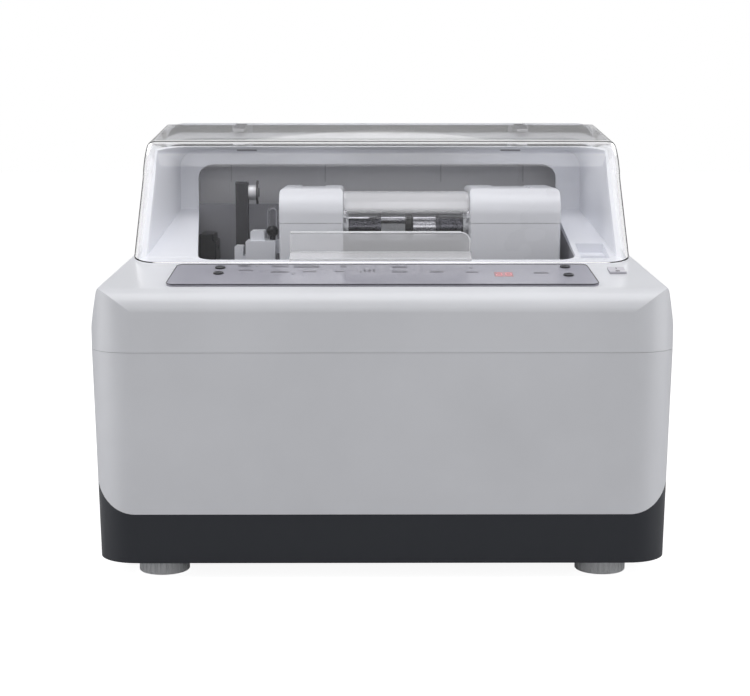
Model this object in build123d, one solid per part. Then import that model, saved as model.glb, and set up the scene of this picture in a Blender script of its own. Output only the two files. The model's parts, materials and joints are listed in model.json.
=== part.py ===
"""Automatic lens edger: a bench machine that grinds the edge of a spectacle lens to shape.

A lens is clamped between two turning shafts in the arms of a carriage. The carriage slides along a
rear shaft to choose a wheel and swings down to press the lens on it, under a clear lid.
Frame: origin on the table under the middle of the machine, +X to the operator's right, +Y to the
rear, +Z up. Millimetres.
"""

import os
from math import atan2, cos, hypot, pi, radians, sin, tan

from build123d import *

# Overall sizes.
width = 560.0
depth = 500.0
height = 435.0

# Clearances and the overrun that takes a cut past a face.
fit_gap = 0.3
running_gap = 0.08
over = 5.0

# Outer shells: base, body and top.
shell_wall = 3.0
fitting_reach = 10.0
front_corner_radius = 44.0
back_corner_radius = 18.0
draft_deg = 1.4
base_z = 16.0
base_line_z = 64.0
base_sweep_radius = 42.0
base_sweep_side_gap = 4.4
base_sweep_lean = 10.0
base_floor = 3.0
upper_height = 215.0
split_z = height - upper_height
split_gap = 0.3

front_y = -depth / 2
back_y = depth / 2 - fitting_reach

# Deck of the top shell: a plane that rises to the rear.
deck_slope_deg = 10.2
deck_front_rise = 57.0
deck_front_z = split_z + deck_front_rise
deck_bend_radius = 22.0
shoulder_low_step = 41.0
shoulder_low_z = deck_front_z - shoulder_low_step
shoulder_mid_step = 9.0
shoulder_mid_half = width / 2 - shoulder_mid_step
shoulder_mid_rise = 1.0
shoulder_mid_z = deck_front_z + shoulder_mid_rise
shoulder_top_step = 20.0
shoulder_top_half = shoulder_mid_half - shoulder_top_step
shoulder_top_rise = 24.0
shoulder_top_z = shoulder_mid_z + shoulder_top_rise
shoulder_radius = 30.0
rear_seat_rise = 23.0
rear_seat_z = deck_front_z + rear_seat_rise
rear_seat_side = 26.0
rear_seat_half = shoulder_top_half - rear_seat_side
rear_seat_ledge = 15.0

# Lid and rear cover share one outline seen from the front.
hood_low_z = rear_seat_z
hood_side_step = 1.0
hood_low_half = shoulder_top_half - hood_side_step
hood_high_drop = 22.0
hood_high_z = height - hood_high_drop
hood_lean = 9.5
hood_high_half = hood_low_half - hood_lean
hood_corner_radius = 22.0
cover_front_y = 65.3
cover_wall = 3.0
cover_back_radius = 20.0

lid_wall = 3.0
lid_top_drop = 1.6
lid_top_z = height - lid_top_drop
deck_reach = 100.0
lid_front_y = front_y + deck_reach
lid_front_run = 38.0
lid_bend_y = lid_front_y + lid_front_run
lid_bend_z = hood_high_z
lid_back_y = 61.0
lid_seat_gap = 1.4
lid_bend_radius = 12.0
lid_corner_radius = 26.0
rim_height = 5.0
rim_reach = 1.8

# Lid hinge.
lid_axis_y = 86.0
lid_axis_drop = 9.0
lid_axis_z = height - lid_axis_drop
bracket_side_step = 85.5
lid_bracket_x = hood_high_half - bracket_side_step
bracket_width = 12.0
bracket_strap = 3.0
bracket_length = 34.0
bracket_eye_radius = 8.0
lid_pin_radius = 3.0
ear_width = 5.0
ear_radius = 8.0

# Working well: surround, chamber opening and tub.
surround_wall = 3.0
surround_side_gap = 2.5
surround_back_y = 65.0
surround_top_drop = 13.0
surround_top_z = height - surround_top_drop
surround_front_step = 28.0
surround_front_y = lid_front_y + surround_front_step
surround_front_lean = 30.0
well_side_step = 7.4
well_half = hood_low_half - well_side_step
well_front_step = 10.4
well_front_y = lid_front_y + well_front_step
chamber_left_step = 39.6
chamber_left_x = chamber_left_step - well_half
chamber_front_step = 18.0
chamber_left_front_x = chamber_left_x + chamber_front_step
chamber_right_step = 46.6
chamber_right_x = well_half - chamber_right_step
chamber_front_inset = 18.0
chamber_front_y = lid_front_y + chamber_front_inset
chamber_back_y = 62.0
chamber_corner_radius = 17.0
chamber_top_drop = 44.0
chamber_top_z = height - chamber_top_drop
panel_side_step = 19.6
panel_half = well_half - panel_side_step
panel_top_drop = 23.0
panel_top_z = height - panel_top_drop
panel_low_rise = 62.0
panel_low_z = deck_front_z + panel_low_rise
panel_corner_radius = 25.0
latch_slot_width = 22.0
latch_slot_height = 6.0
latch_side_step = 69.0
latch_slot_x = panel_half - latch_side_step
pocket_side_step = 5.0
pocket_left_x = chamber_right_x + pocket_side_step
pocket_width = 29.0
pocket_right_x = pocket_left_x + pocket_width
pocket_front_step = 12.6
pocket_front_y = well_front_y + pocket_front_step
pocket_length = 53.0
pocket_back_y = pocket_front_y + pocket_length
pocket_depth = 8.0
pocket_rib = 3.0
pocket_rib_height = 4.0

tub_wall = 3.0
tub_floor_drop = 17.0
tub_floor_z = deck_front_z - tub_floor_drop
tub_lip_rise = 28.0
tub_back_lip_z = tub_floor_z + tub_lip_rise
tub_back_rise = 6.0
tub_back_top_z = panel_low_z + tub_back_rise
tub_slot_left_x = -112.0
tub_slot_right_x = 134.0
backdrop_y = 118.0
backdrop_wall = 2.0
backdrop_low_rise = 1.0
backdrop_low_z = panel_low_z + backdrop_low_rise
backdrop_top_drop = 33.0
backdrop_top_z = height - backdrop_top_drop
backdrop_side_step = 15.0
backdrop_half = panel_half - backdrop_side_step
backdrop_rib_width = 3.0
backdrop_rib_shares = (-0.841, -0.346, 0.308, 0.774)
well_radius = 58.0
wheel_well_left_x = -52.0
wheel_well_right_x = 44.0
drain_x = 16.0
drain_radius = 11.0
drain_wall = 2.0

# Grinding spindle, wheels, motor and belt.
spindle_y = -24.0
spindle_drop = 30.0
spindle_z = tub_floor_z - spindle_drop
wheel_radius = 50.0
wheel_grit = 5.0
wheel_gap = 1.0
wheel_widths = (24.0, 18.0)
wheels_left_x = -30.0
bevel_depth = 2.5
spindle_radius = 10.0
spindle_nose_radius = 12.0
flange_radius = 22.0
flange_width = 4.0
nut_radius = 15.0
nut_width = 9.0
nut_flats = 26.0
seal_gap = 1.0
housing_radius = 24.0
housing_left_x = 56.0
housing_right_x = 146.0
housing_foot_left_x = 72.0
housing_foot_right_x = 134.0
housing_foot_half = 20.0
housing_sole = 10.0
housing_sole_reach = 14.0
spindle_pulley_radius = 22.0
motor_pulley_radius = 30.0
pulley_left_x = 156.0
pulley_width = 14.0
belt_thickness = 2.2
belt_gap = 0.15
motor_y = 85.0
motor_z = 105.0
motor_radius = 46.0
motor_left_x = 45.0
motor_right_x = 148.0
motor_shaft_radius = 8.0
motor_bell = 12.0
motor_bell_radius = 40.0
motor_fin = 2.5
motor_fin_count = 9
motor_cradle_half = 36.0
motor_bore_depth = 20.0

# Chassis inside the base.
chassis_z = 40.0
chassis_plate = 6.0
chassis_side_step = 35.0
chassis_half = width / 2 - chassis_side_step
chassis_front_step = 25.0
chassis_front_y = front_y + chassis_front_step
chassis_back_step = 35.0
chassis_back_y = back_y - chassis_back_step
standoff_radius = 8.0
standoff_side_step = 70.0
standoff_x = chassis_half - standoff_side_step
standoff_back_step = 40.0
standoff_y = chassis_back_y - standoff_back_step

# Levelling feet.
foot_side_step = 66.0
foot_x = width / 2 - foot_side_step
foot_front_step = 45.0
foot_front_y = front_y + foot_front_step
foot_back_step = 48.0
foot_back_y = back_y - foot_back_step
foot_radius = 24.5
foot_pad_gap = 0.4
foot_stud_radius = 5.0
foot_stud_top_z = 31.0
foot_rib_count = 28
foot_scallop_radius = 1.6
foot_boss_radius = 10.0
foot_boss_top_z = 30.0

# Carriage: pivot shaft, saddle, lead screw.
pivot_back_step = 90.0
pivot_y = back_y - pivot_back_step
pivot_z = rear_seat_z
pivot_radius = 12.0
pedestal_side_step = 40.0
pedestal_x = chassis_half - pedestal_side_step
pedestal_width = 30.0
pedestal_front_reach = 26.0
pedestal_front_y = pivot_y - pedestal_front_reach
pedestal_back_reach = 52.0
pedestal_back_y = pivot_y + pedestal_back_reach
pedestal_top = 20.0
pedestal_sole = 10.0
screw_back_step = 36.0
screw_y = pivot_y + screw_back_step
screw_drop = 14.0
screw_z = pivot_z - screw_drop
screw_radius = 5.0
screw_end_step = 22.0
screw_left_x = -pedestal_x + pedestal_width / 2 + screw_end_step
screw_pitch = 4.0
screw_thread = 0.8
screw_groove_count = 24
traverse_motor_size = 40.0
traverse_motor_length = 42.0
saddle_left_x = -20.0
saddle_right_x = 60.0
saddle_radius = 22.0
nut_boss_radius = 11.0

# Carriage frame and arms.
lens_y = -30.0
lens_rise = 25.0
lens_z = pivot_z + lens_rise
hub_radius = 25.0
hub_length = 60.0
left_hub_x = -82.0
right_hub_x = 62.0
bridge_windows = 3
bridge_rim_share = 0.1875
bridge_front_y = 46.0
bridge_back_step = 24.0
bridge_back_y = pivot_y - bridge_back_step
bridge_hub_step = 10.0
bridge_hub_y = pivot_y - bridge_hub_step
bridge_low_rise = 6.0
bridge_low_z = pivot_z + bridge_low_rise
bridge_high_rise = 30.0
bridge_high_z = pivot_z + bridge_high_rise
left_arm_left_x = -106.0
left_arm_right_x = -40.0
right_arm_left_x = 92.4
right_arm_side_step = 56.6
right_arm_right_x = well_half - right_arm_side_step
arm_front_y = -75.0
arm_back_y = 44.0
arm_low_drop = 32.0
arm_low_z = lens_z - arm_low_drop
arm_seam_rise = 6.3
arm_seam_z = lens_z + arm_seam_rise
arm_top_rise = 42.0
arm_top_z = lens_z + arm_top_rise
arm_seam_gap = 0.4
arm_wall = 2.5
arm_bend_radius = 26.0
arm_edge_radius = 5.0
skirt_back_y = -62.0
arm_belly_rise = 4.0
arm_belly_z = arm_low_z + arm_belly_rise
arm_plate_rise = 23.0
arm_plate_corner_z = lens_z + arm_plate_rise
arm_plate_top_y = -50.0
arm_top_recess = 1.2
arm_plate = 10.0
arm_plate_front_y = -60.0
left_plate_x = -58.0
right_plate_x = 110.0
boss_radius = 14.0
boss_reach = 5.5

# Lens shafts, chuck and clamp.
lens_shaft_radius = 9.0
lens_shaft_left_x = -102.6
chuck_face_x = 0.0
chuck_length = 13.0
chuck_flange_radius = 14.0
chuck_flange_width = 4.0
chuck_body_radius = 10.5
chuck_socket_radius = 6.0
chuck_socket_depth = 6.0
lens_gap = 26.0
clamp_shaft_radius = 7.5
sleeve_radius = 11.0
sleeve_left_x = 58.0
sleeve_right_x = 122.0
sleeve_flange = 3.0
sleeve_flange_radius = 13.0
pad_length = 8.0
pad_dish_radius = 9.0
pad_dish_depth = 2.0
pinion_left_x = 143.0
pinion_right_x = 173.0
clamp_shaft_right_x = 178.0

# Gears that keep both lens shafts in step.
sync_y = 12.6
sync_rise = 5.0
sync_z = lens_z + sync_rise
gear_teeth = 20
gear_width = 9.0
gear_addendum_share = 0.9
gear_dedendum_share = 1.15
gear_backlash_share = 0.2
gear_pressure_deg = 20.0
sync_shaft_radius = 4.0
sync_left_x = -102.0
sync_right_x = 155.0
left_gear_x = -100.0
right_gear_x = 143.5
lens_motor_size = 34.0
lens_motor_length = 24.0

# Clear hood over the lens, which turns about the lens axis.
hood_radius = 38.0
hood_wall = 2.0
hood_side = 2.5
hood_front_deg = 17.0
hood_back_deg = 160.0
hood_side_gap = 0.6
hood_ring_reach = 5.0

# Clear splash guard at the front of the chamber.
guard_left_x = -92.6
guard_right_x = 89.8
guard_front_step = 20.0
guard_front_y = chamber_front_y + guard_front_step
guard_top_drop = 1.0
guard_top_z = lens_z - guard_top_drop
guard_wall = 2.5
guard_flange = 14.0
guard_corner_radius = 9.0
guard_foot = 10.0
guard_foot_reach = 26.0

# Left of the carriage: grooving arm, coolant nozzle and lens probe.
groove_y = 10.0
groove_pivot_rise = 14.0
groove_pivot_z = tub_floor_z + groove_pivot_rise
groove_pivot_radius = 4.0
groove_boss_radius = 8.0
groove_arm_left_x = -157.0
groove_arm_right_x = -143.8
groove_arm_half = 9.0
groove_axis_rise = 86.0
groove_axis_z = groove_pivot_z + groove_axis_rise
groove_top_rise = 11.5
groove_arm_top_z = groove_axis_z + groove_top_rise
groove_wheel_radius = 12.9
groove_wheel_width = 2.0
groove_hub_radius = 8.0
groove_hub_length = 8.6
groove_bearing_radius = 3.0
groove_ear = 5.0
groove_ear_gap = 0.4
groove_cap_radius = 5.0
groove_cap = 0.9
nozzle_left_x = -143.2
nozzle_right_x = -111.7
nozzle_front_y = -48.0
nozzle_back_y = -14.0
nozzle_top_drop = 13.7
nozzle_top_z = lens_z - nozzle_top_drop
nozzle_tower_left_x = -138.2
nozzle_tower_right_x = -123.6
nozzle_tower_drop = 3.5
nozzle_tower_top_z = lens_z - nozzle_tower_drop
nozzle_side_left_x = -155.2
nozzle_side_right_x = -146.2
nozzle_side_drop = 19.5
nozzle_side_top_z = lens_z - nozzle_side_drop
nozzle_bridge_drop = 35.0
nozzle_bridge_z = lens_z - nozzle_bridge_drop
nozzle_chamfer = 1.0
ball_x = -115.5
ball_y = -30.0
ball_drop = 4.4
ball_z = lens_z - ball_drop
ball_radius = 6.2
ball_stem_radius = 3.0
tube_radius = 1.6
tube_half = 4.6
tube_y = -20.0
tube_rise = 20.0
tube_top_z = lens_z + tube_rise
probe_side_step = 7.0
probe_left_x = chamber_left_x + probe_side_step
probe_width = 18.0
probe_right_x = probe_left_x + probe_width
probe_front_y = -8.0
probe_back_y = 44.0
probe_height = 55.6
probe_top_z = tub_floor_z + probe_height
probe_step_rise = 48.0
probe_step_z = tub_floor_z + probe_step_rise
probe_step = 3.0
probe_pivot_y = 18.0
probe_pivot_rise = 40.0
probe_pivot_z = tub_floor_z + probe_pivot_rise
probe_pivot_radius = 3.0
probe_pin_length = 8.0

# Control panel on the deck, with two keys, a display and the power switch.
plate_front_step = 20.5
panel_front_y = front_y + plate_front_step
plate_back_step = 7.0
panel_back_y = lid_front_y - plate_back_step
plate_side_step = 45.0
panel_front_half = shoulder_top_half - plate_side_step
plate_taper = 4.0
panel_back_half = panel_front_half - plate_taper
panel_radius = 7.0
panel_thickness = 2.2
key_radius = 5.0
key_gap = 0.25
key_proud = 1.2
key_stem = 4.5
key_travel = 0.5
left_key_step = 43.0
left_key_x = left_key_step - panel_back_half
right_key_step = 22.0
right_key_x = panel_back_half - right_key_step
left_front_key_step = 33.0
left_front_key_y = panel_back_y - left_front_key_step
left_back_key_step = 13.0
left_back_key_y = panel_back_y - left_back_key_step
right_front_key_step = 40.0
right_front_key_y = panel_back_y - right_front_key_step
right_back_key_step = 10.0
right_back_key_y = panel_back_y - right_back_key_step
display_step = 62.5
display_x = right_key_x - display_step
display_back_step = 37.0
display_y = panel_back_y - display_back_step
display_width = 18.0
display_depth = 17.0
display_thickness = 3.0
switch_step = 24.0
switch_x = panel_front_half + switch_step
switch_back_step = 18.0
switch_y = panel_back_y - switch_back_step
switch_width = 16.0
switch_length = 21.0
switch_gap = 0.4
switch_depth = 9.0
switch_tilt_deg = 7.0
switch_proud = 1.0
switch_pin_radius = 1.5
switch_pin_depth = 6.0
switch_cheek = 2.0

# Rear panel and its fittings, and the power supply.
recess_side_step = 66.0
recess_half = width / 2 - recess_side_step
recess_top_step = 10.0
recess_high_z = split_z - recess_top_step
recess_height = 102.0
recess_low_z = recess_high_z - recess_height
recess_wall = 2.0
recess_depth = 22.0
recess_floor_y = back_y - recess_depth
vent_width = 34.0
vent_height = 3.5
vent_pitch = 8.0
vent_rows = 7
vent_columns = 3
vent_left_x = 60.0
vent_rise = 24.0
vent_low_z = recess_low_z + vent_rise
vent_column_pitch = 46.0
inlet_step = 49.0
inlet_x = inlet_step - recess_half
inlet_rise = 52.0
inlet_z = recess_low_z + inlet_rise
inlet_width = 50.0
inlet_height = 30.0
inlet_depth = 26.0
inlet_proud = 3.0
inlet_socket_width = 24.0
inlet_socket_height = 16.0
inlet_socket_depth = 14.0
inlet_flange = 4.0
inlet_blade = 2.0
drain_rise = 22.0
drain_z = recess_low_z + drain_rise
drain_bend_radius = 20.0
drain_cuff_radius = 15.0
drain_cuff_length = 27.0
drain_spigot = 16.0
hose_top_drop = 64.0
drain_hose_top_z = spindle_z - hose_top_drop
water_x = -60.0
water_rise = 52.0
water_z = recess_low_z + water_rise
water_radius = 5.0
water_bore = 3.0
water_flange_radius = 11.0
water_flange = 3.0
water_inside = 16.0
supply_left_x = -232.0
supply_right_x = -112.0
supply_front_y = -195.0
supply_back_y = -75.0
supply_height = 62.0
supply_wall = 2.0
supply_slot = 3.0
supply_slot_count = 8

key_places = {
    "key_left_front": (left_key_x, left_front_key_y),
    "key_left_back": (left_key_x, left_back_key_y),
    "key_right_front": (right_key_x, right_front_key_y),
    "key_right_back": (right_key_x, right_back_key_y),
}


def block(x0, x1, y0, y1, z0, z1):
    """A box between two corners."""
    return Pos((x0 + x1) / 2, (y0 + y1) / 2, (z0 + z1) / 2) * Box(x1 - x0, y1 - y0, z1 - z0)


def rod_x(radius, x0, x1, y, z):
    """A round bar along X."""
    turned = Rot(0, 90, 0) * Cylinder(radius, x1 - x0, align=(Align.CENTER, Align.CENTER, Align.MIN))
    return Pos(x0, y, z) * turned


def rod_y(radius, y0, y1, x, z):
    """A round bar along Y."""
    turned = Rot(-90, 0, 0) * Cylinder(radius, y1 - y0, align=(Align.CENTER, Align.CENTER, Align.MIN))
    return Pos(x, y0, z) * turned


def rod_z(radius, z0, z1, x, y):
    """A round bar along Z."""
    return Pos(x, y, z0) * Cylinder(radius, z1 - z0, align=(Align.CENTER, Align.CENTER, Align.MIN))


def side_prism(points, x0, x1, rounds=()):
    """A Y-Z outline carried along X. rounds lists (index of the corner, radius)."""
    sketch = make_face(Polyline(*points, close=True))
    for index, radius in rounds:
        corner = Vector(points[index][0], points[index][1], 0)
        nearest = sketch.vertices().sort_by_distance(corner)[0]
        sketch = fillet(nearest, radius)
    return extrude(Plane.YZ.offset(x0) * sketch, amount=x1 - x0)


def front_prism(points, y0, y1, rounds=()):
    """An X-Z outline carried along Y."""
    sketch = make_face(Polyline(*points, close=True))
    for index, radius in rounds:
        corner = Vector(points[index][0], points[index][1], 0)
        nearest = sketch.vertices().sort_by_distance(corner)[0]
        sketch = fillet(nearest, radius)
    return extrude(Plane.XZ.offset(-y0) * sketch, amount=y0 - y1)


def one(shape):
    """The largest solid of a result, for cuts that leave a sliver behind."""
    return shape.solids().sort_by(SortBy.VOLUME)[-1]


def deck_z(y):
    """Height of the deck plane at a distance from the middle."""
    return deck_front_z + (y - front_y) * tan(radians(deck_slope_deg))


def deck_plane(x, y):
    """A plane lying on the deck, its Z axis square to the deck."""
    slope = radians(deck_slope_deg)
    return Plane(origin=(x, y, deck_z(y)), x_dir=(1, 0, 0), z_dir=(0, -sin(slope), cos(slope)))


# Outer shells.


def body_outline(inset):
    """Plan of the housing with its larger front corners."""
    half = width / 2 - inset
    y0, y1 = front_y + inset, back_y - inset
    sketch = make_face(Polyline((-half, y0), (half, y0), (half, y1), (-half, y1), close=True))
    sketch = fillet(sketch.vertices().sort_by(Axis.Y)[:2], front_corner_radius - inset)
    return fillet(sketch.vertices().sort_by(Axis.Y)[-2:], back_corner_radius - inset)


def body_block(low_z, inset):
    """The drafted housing from the split line down to a height."""
    return extrude(Pos(0, 0, split_z) * body_outline(inset), amount=low_z - split_z, taper=draft_deg)


def white_zone(gap):
    """Everything above the line where the white shell meets the dark base."""
    half = width / 2 - base_sweep_side_gap + gap
    low = base_line_z - gap
    wide = half + base_sweep_lean
    radius = base_sweep_radius + gap
    points = ((-half, low), (half, low), (wide, split_z + over), (-wide, split_z + over))
    return front_prism(points, front_y - over, back_y + over, ((0, radius), (1, radius)))


def make_base_tray():
    """Dark lower housing with a floor, foot bosses and air slots."""
    tray = body_block(base_z, 0) - body_block(base_z + base_floor, shell_wall)
    tray -= white_zone(split_gap)
    for x in (-foot_x, foot_x):
        for y in (foot_front_y, foot_back_y):
            tray += rod_z(foot_boss_radius, base_z, foot_boss_top_z, x, y)
            tray -= rod_z(foot_stud_radius + running_gap, base_z - over, foot_boss_top_z + over, x, y)
    for row in range(vent_rows):
        for x in (-standoff_x / 2, standoff_x / 2):
            y = (row - (vent_rows - 1) / 2) * vent_pitch * 2
            tray -= block(x - vent_width / 2, x + vent_width / 2, y, y + vent_height,
                          base_z - over, base_z + base_floor + over)
    return one(tray)


def make_body_shell():
    """White middle shell, open above and below, with a window for the rear panel."""
    shell = body_block(base_z, 0) - body_block(base_z - over, shell_wall)
    shell &= white_zone(0)
    shell -= block(-recess_half, recess_half, 0, back_y + over, recess_low_z, recess_high_z)
    return one(shell)


def deck_profile(inset):
    """Side outline of the top shell: upright front, bend, rising deck, then the rear seat."""
    rise = inset / cos(radians(deck_slope_deg))
    y0, y1 = front_y + inset, back_y - inset
    step_y = surround_back_y - inset
    return (
        (y0, split_z - over),
        (y0, deck_z(y0) - rise),
        (step_y, deck_z(step_y) - rise),
        (step_y, rear_seat_z - inset),
        (y1, rear_seat_z - inset),
        (y1, split_z - over),
    )


def shoulder_profile(inset):
    """Front outline of the top shell with its sloping shoulders."""
    half = width / 2 - inset
    mid, top = shoulder_mid_half - inset, shoulder_top_half - inset
    drop = inset / 2
    right = ((half, split_z - over), (half, shoulder_low_z), (mid, shoulder_mid_z - drop),
             (top, shoulder_top_z - drop), (top, height))
    left = tuple((-x, z) for x, z in reversed(right))
    return right + left


def top_block(inset):
    """The top shell's solid envelope, drawn in by inset."""
    plan = extrude(Pos(0, 0, split_z - over) * body_outline(inset), amount=height - split_z + over)
    side = side_prism(deck_profile(inset), -width, width, ((1, deck_bend_radius - inset),))
    last = len(shoulder_profile(inset)) - 1
    rounds = tuple((index, shoulder_radius / index) for index in (1, 2))
    rounds += tuple((last - index, radius) for index, radius in rounds)
    return plan & side & front_prism(shoulder_profile(inset), -depth, depth, rounds)


def make_top_shell():
    """White top shell: shoulders, inclined deck, seat for the rear cover and the well cut-out."""
    shell = top_block(0) - top_block(shell_wall)
    shell -= block(-width, width, -depth, depth, 0, split_z + split_gap)
    well = well_half + fit_gap
    shell -= block(-well, well, well_front_y - fit_gap, surround_back_y + fit_gap, split_z, height)
    shell -= block(-rear_seat_half, rear_seat_half, surround_back_y - over, back_y - rear_seat_ledge,
                   split_z, height)
    for x, y in key_places.values():
        shell -= deck_plane(x, y) * Cylinder(key_radius + key_gap, over * 4)
    shell -= deck_plane(display_x, display_y) * Box(display_width, display_depth, over * 4)
    opening = switch_width / 2 + switch_gap
    for side in (-1, 1):
        cheek = Box(switch_cheek, switch_length / 2, switch_depth)
        shell += deck_plane(switch_x, switch_y) * Pos(side * (opening + switch_cheek / 2), 0,
                                                      -switch_depth / 2) * cheek
    shell -= deck_plane(switch_x, switch_y) * Box(opening * 2, switch_length + switch_gap * 2, over * 6)
    pin = Rot(0, 90, 0) * Cylinder(switch_pin_radius + running_gap, opening * 2 + switch_cheek * 4)
    shell -= deck_plane(switch_x, switch_y) * Pos(0, 0, -switch_pin_depth) * pin
    return one(shell)


# Hood outline shared by the rear cover and the lid.


def hood_half(z):
    """Half the width of the hood outline at a height."""
    lean = (hood_low_half - hood_high_half) / (hood_high_z - hood_low_z)
    return hood_low_half - (z - hood_low_z) * lean


def hood_prism(inset, low_z, top_z, y0, y1):
    """Leaning sides under a flat top with rounded corners, drawn in by inset."""
    top = top_z - inset
    points = ((hood_half(low_z) - inset, low_z), (hood_half(top) - inset, top),
              (-hood_half(top) + inset, top), (-hood_half(low_z) + inset, low_z))
    radius = max(hood_corner_radius - inset, lid_wall)
    return front_prism(points, y0, y1, ((1, radius), (2, radius)))


def lid_top_line(y):
    """Height of the lid's top face, and its continuation, at a distance from the middle."""
    return lid_bend_z + (y - lid_bend_y) * (lid_top_z - lid_bend_z) / (lid_back_y - lid_bend_y)


def make_rear_cover():
    """White cover over the rear of the machine, open at the front, with hinge ears under its top."""
    low = rear_seat_z + fit_gap

    def envelope(inset, front):
        """The cover's solid shape drawn in by inset."""
        rear = back_y - inset
        body = hood_prism(inset, low - inset * 2, height, front, rear)
        edges = body.edges().filter_by(lambda e: abs(e.center().Y - rear) < fit_gap
                                       and e.center().Z > low + fit_gap)
        return fillet(edges, cover_back_radius - inset)

    cover = envelope(0, cover_front_y) - envelope(cover_wall, cover_front_y - over)
    slot = bracket_width / 2 + fit_gap
    for x in (-lid_bracket_x, lid_bracket_x):
        for off in (-1, 1):
            ear_x = x + off * (slot + ear_width / 2)
            ear = rod_x(ear_radius, ear_x - ear_width / 2, ear_x + ear_width / 2, lid_axis_y, lid_axis_z)
            ear += block(ear_x - ear_width / 2, ear_x + ear_width / 2, lid_axis_y - ear_radius,
                         lid_axis_y + ear_radius, lid_axis_z, height - cover_wall / 2)
            cover += ear
        cover -= block(x - slot, x + slot, cover_front_y - over, lid_axis_y + ear_radius * 2,
                       lid_axis_z - ear_radius, height + over)
        cover -= rod_x(lid_pin_radius + running_gap, x - bracket_width * 2, x + bracket_width * 2,
                       lid_axis_y, lid_axis_z)
    for row in range(vent_rows):
        for column in range(vent_columns * 2):
            x = (column - vent_columns + 1 / 2) * vent_column_pitch
            z = (hood_low_z + height) / 2 + (row - vent_rows / 2) * vent_pitch
            cover -= block(x - vent_width / 2, x + vent_width / 2, back_y - cover_wall - over,
                           back_y + over, z, z + vent_height)
    return one(cover)


def lid_envelope(inset):
    """The lid's solid shape drawn in by inset: leaning front, bend and gently rising top."""
    lean = atan2(lid_bend_y - lid_front_y, lid_bend_z - deck_z(lid_front_y))
    shift = inset / cos(lean)
    low = deck_z(lid_front_y) - over * 2
    rear = lid_back_y + (over if inset > 0 else 0)
    front = lid_front_y + shift - over * 2 * tan(lean)
    outline = ((front, low), (lid_bend_y + shift, lid_top_line(lid_bend_y + shift) - inset),
               (rear, lid_top_line(rear) - inset), (rear, low))
    body = side_prism(outline, -width, width)
    leaning = ((hood_half(low - over) - inset, low - over), (hood_half(height) - inset, height),
               (-hood_half(height) + inset, height), (-hood_half(low - over) + inset, low - over))
    body &= front_prism(leaning, -depth, depth)
    face = body.faces().sort_by(Axis.Y)[0]
    sides = face.edges().filter_by(lambda e: abs((e @ 1 - e @ 0).Z) > lid_corner_radius)
    body = fillet(sides, lid_corner_radius - inset)
    top = body.faces().sort_by(Axis.Z)[-1]
    edges = top.edges().filter_by(lambda e: e.center().Y < rear - fit_gap)
    return fillet(edges, lid_bend_radius - inset)


def above_deck(low, high):
    """The layer between two heights above the deck plane."""
    y0, y1 = -depth, depth
    return side_prism(((y0, deck_z(y0) + low), (y1, deck_z(y1) + low), (y1, deck_z(y1) + high),
                       (y0, deck_z(y0) + high)), -width, width)


def make_lid():
    """Clear lid with a rim along its foot."""
    rim = lid_envelope(-rim_reach) & above_deck(lid_seat_gap, lid_seat_gap + rim_height)
    rim &= block(-width, width, -depth, lid_back_y, 0, height)
    shell = lid_envelope(0) & above_deck(lid_seat_gap, height)
    return one((shell + rim) - lid_envelope(lid_wall))


def make_lid_hinge(x):
    """Bracket under the lid's top with an eye and pin that turn in the cover's ears."""
    left, right = x - bracket_width / 2, x + bracket_width / 2
    front_end = lid_back_y - bracket_length
    top = lid_top_line(front_end) - lid_wall
    back_top = lid_top_line(lid_back_y) - lid_wall
    points = ((front_end, top - bracket_strap), (front_end, top), (lid_back_y, back_top),
              (lid_axis_y, back_top), (lid_axis_y, back_top - bracket_strap),
              (lid_back_y, back_top - bracket_strap))
    bracket = side_prism(points, left, right)
    bracket += rod_x(bracket_eye_radius, left, right, lid_axis_y, lid_axis_z)
    reach = ear_width + fit_gap
    bracket += rod_x(lid_pin_radius, left - reach, right + reach, lid_axis_y, lid_axis_z)
    return one(bracket)


# Working well.


def chamber_plan(out):
    """Plan of the chamber opening, grown by out, narrower at the front left."""
    left, right = chamber_left_x - out, chamber_right_x + out
    front, back = chamber_front_y - out, chamber_back_y + out
    sketch = make_face(Polyline((left, back), (right, back), (right, front),
                                (chamber_left_front_x - out, front), close=True))
    return fillet(sketch.vertices().sort_by(Axis.Y)[:2], chamber_corner_radius + out)


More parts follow.
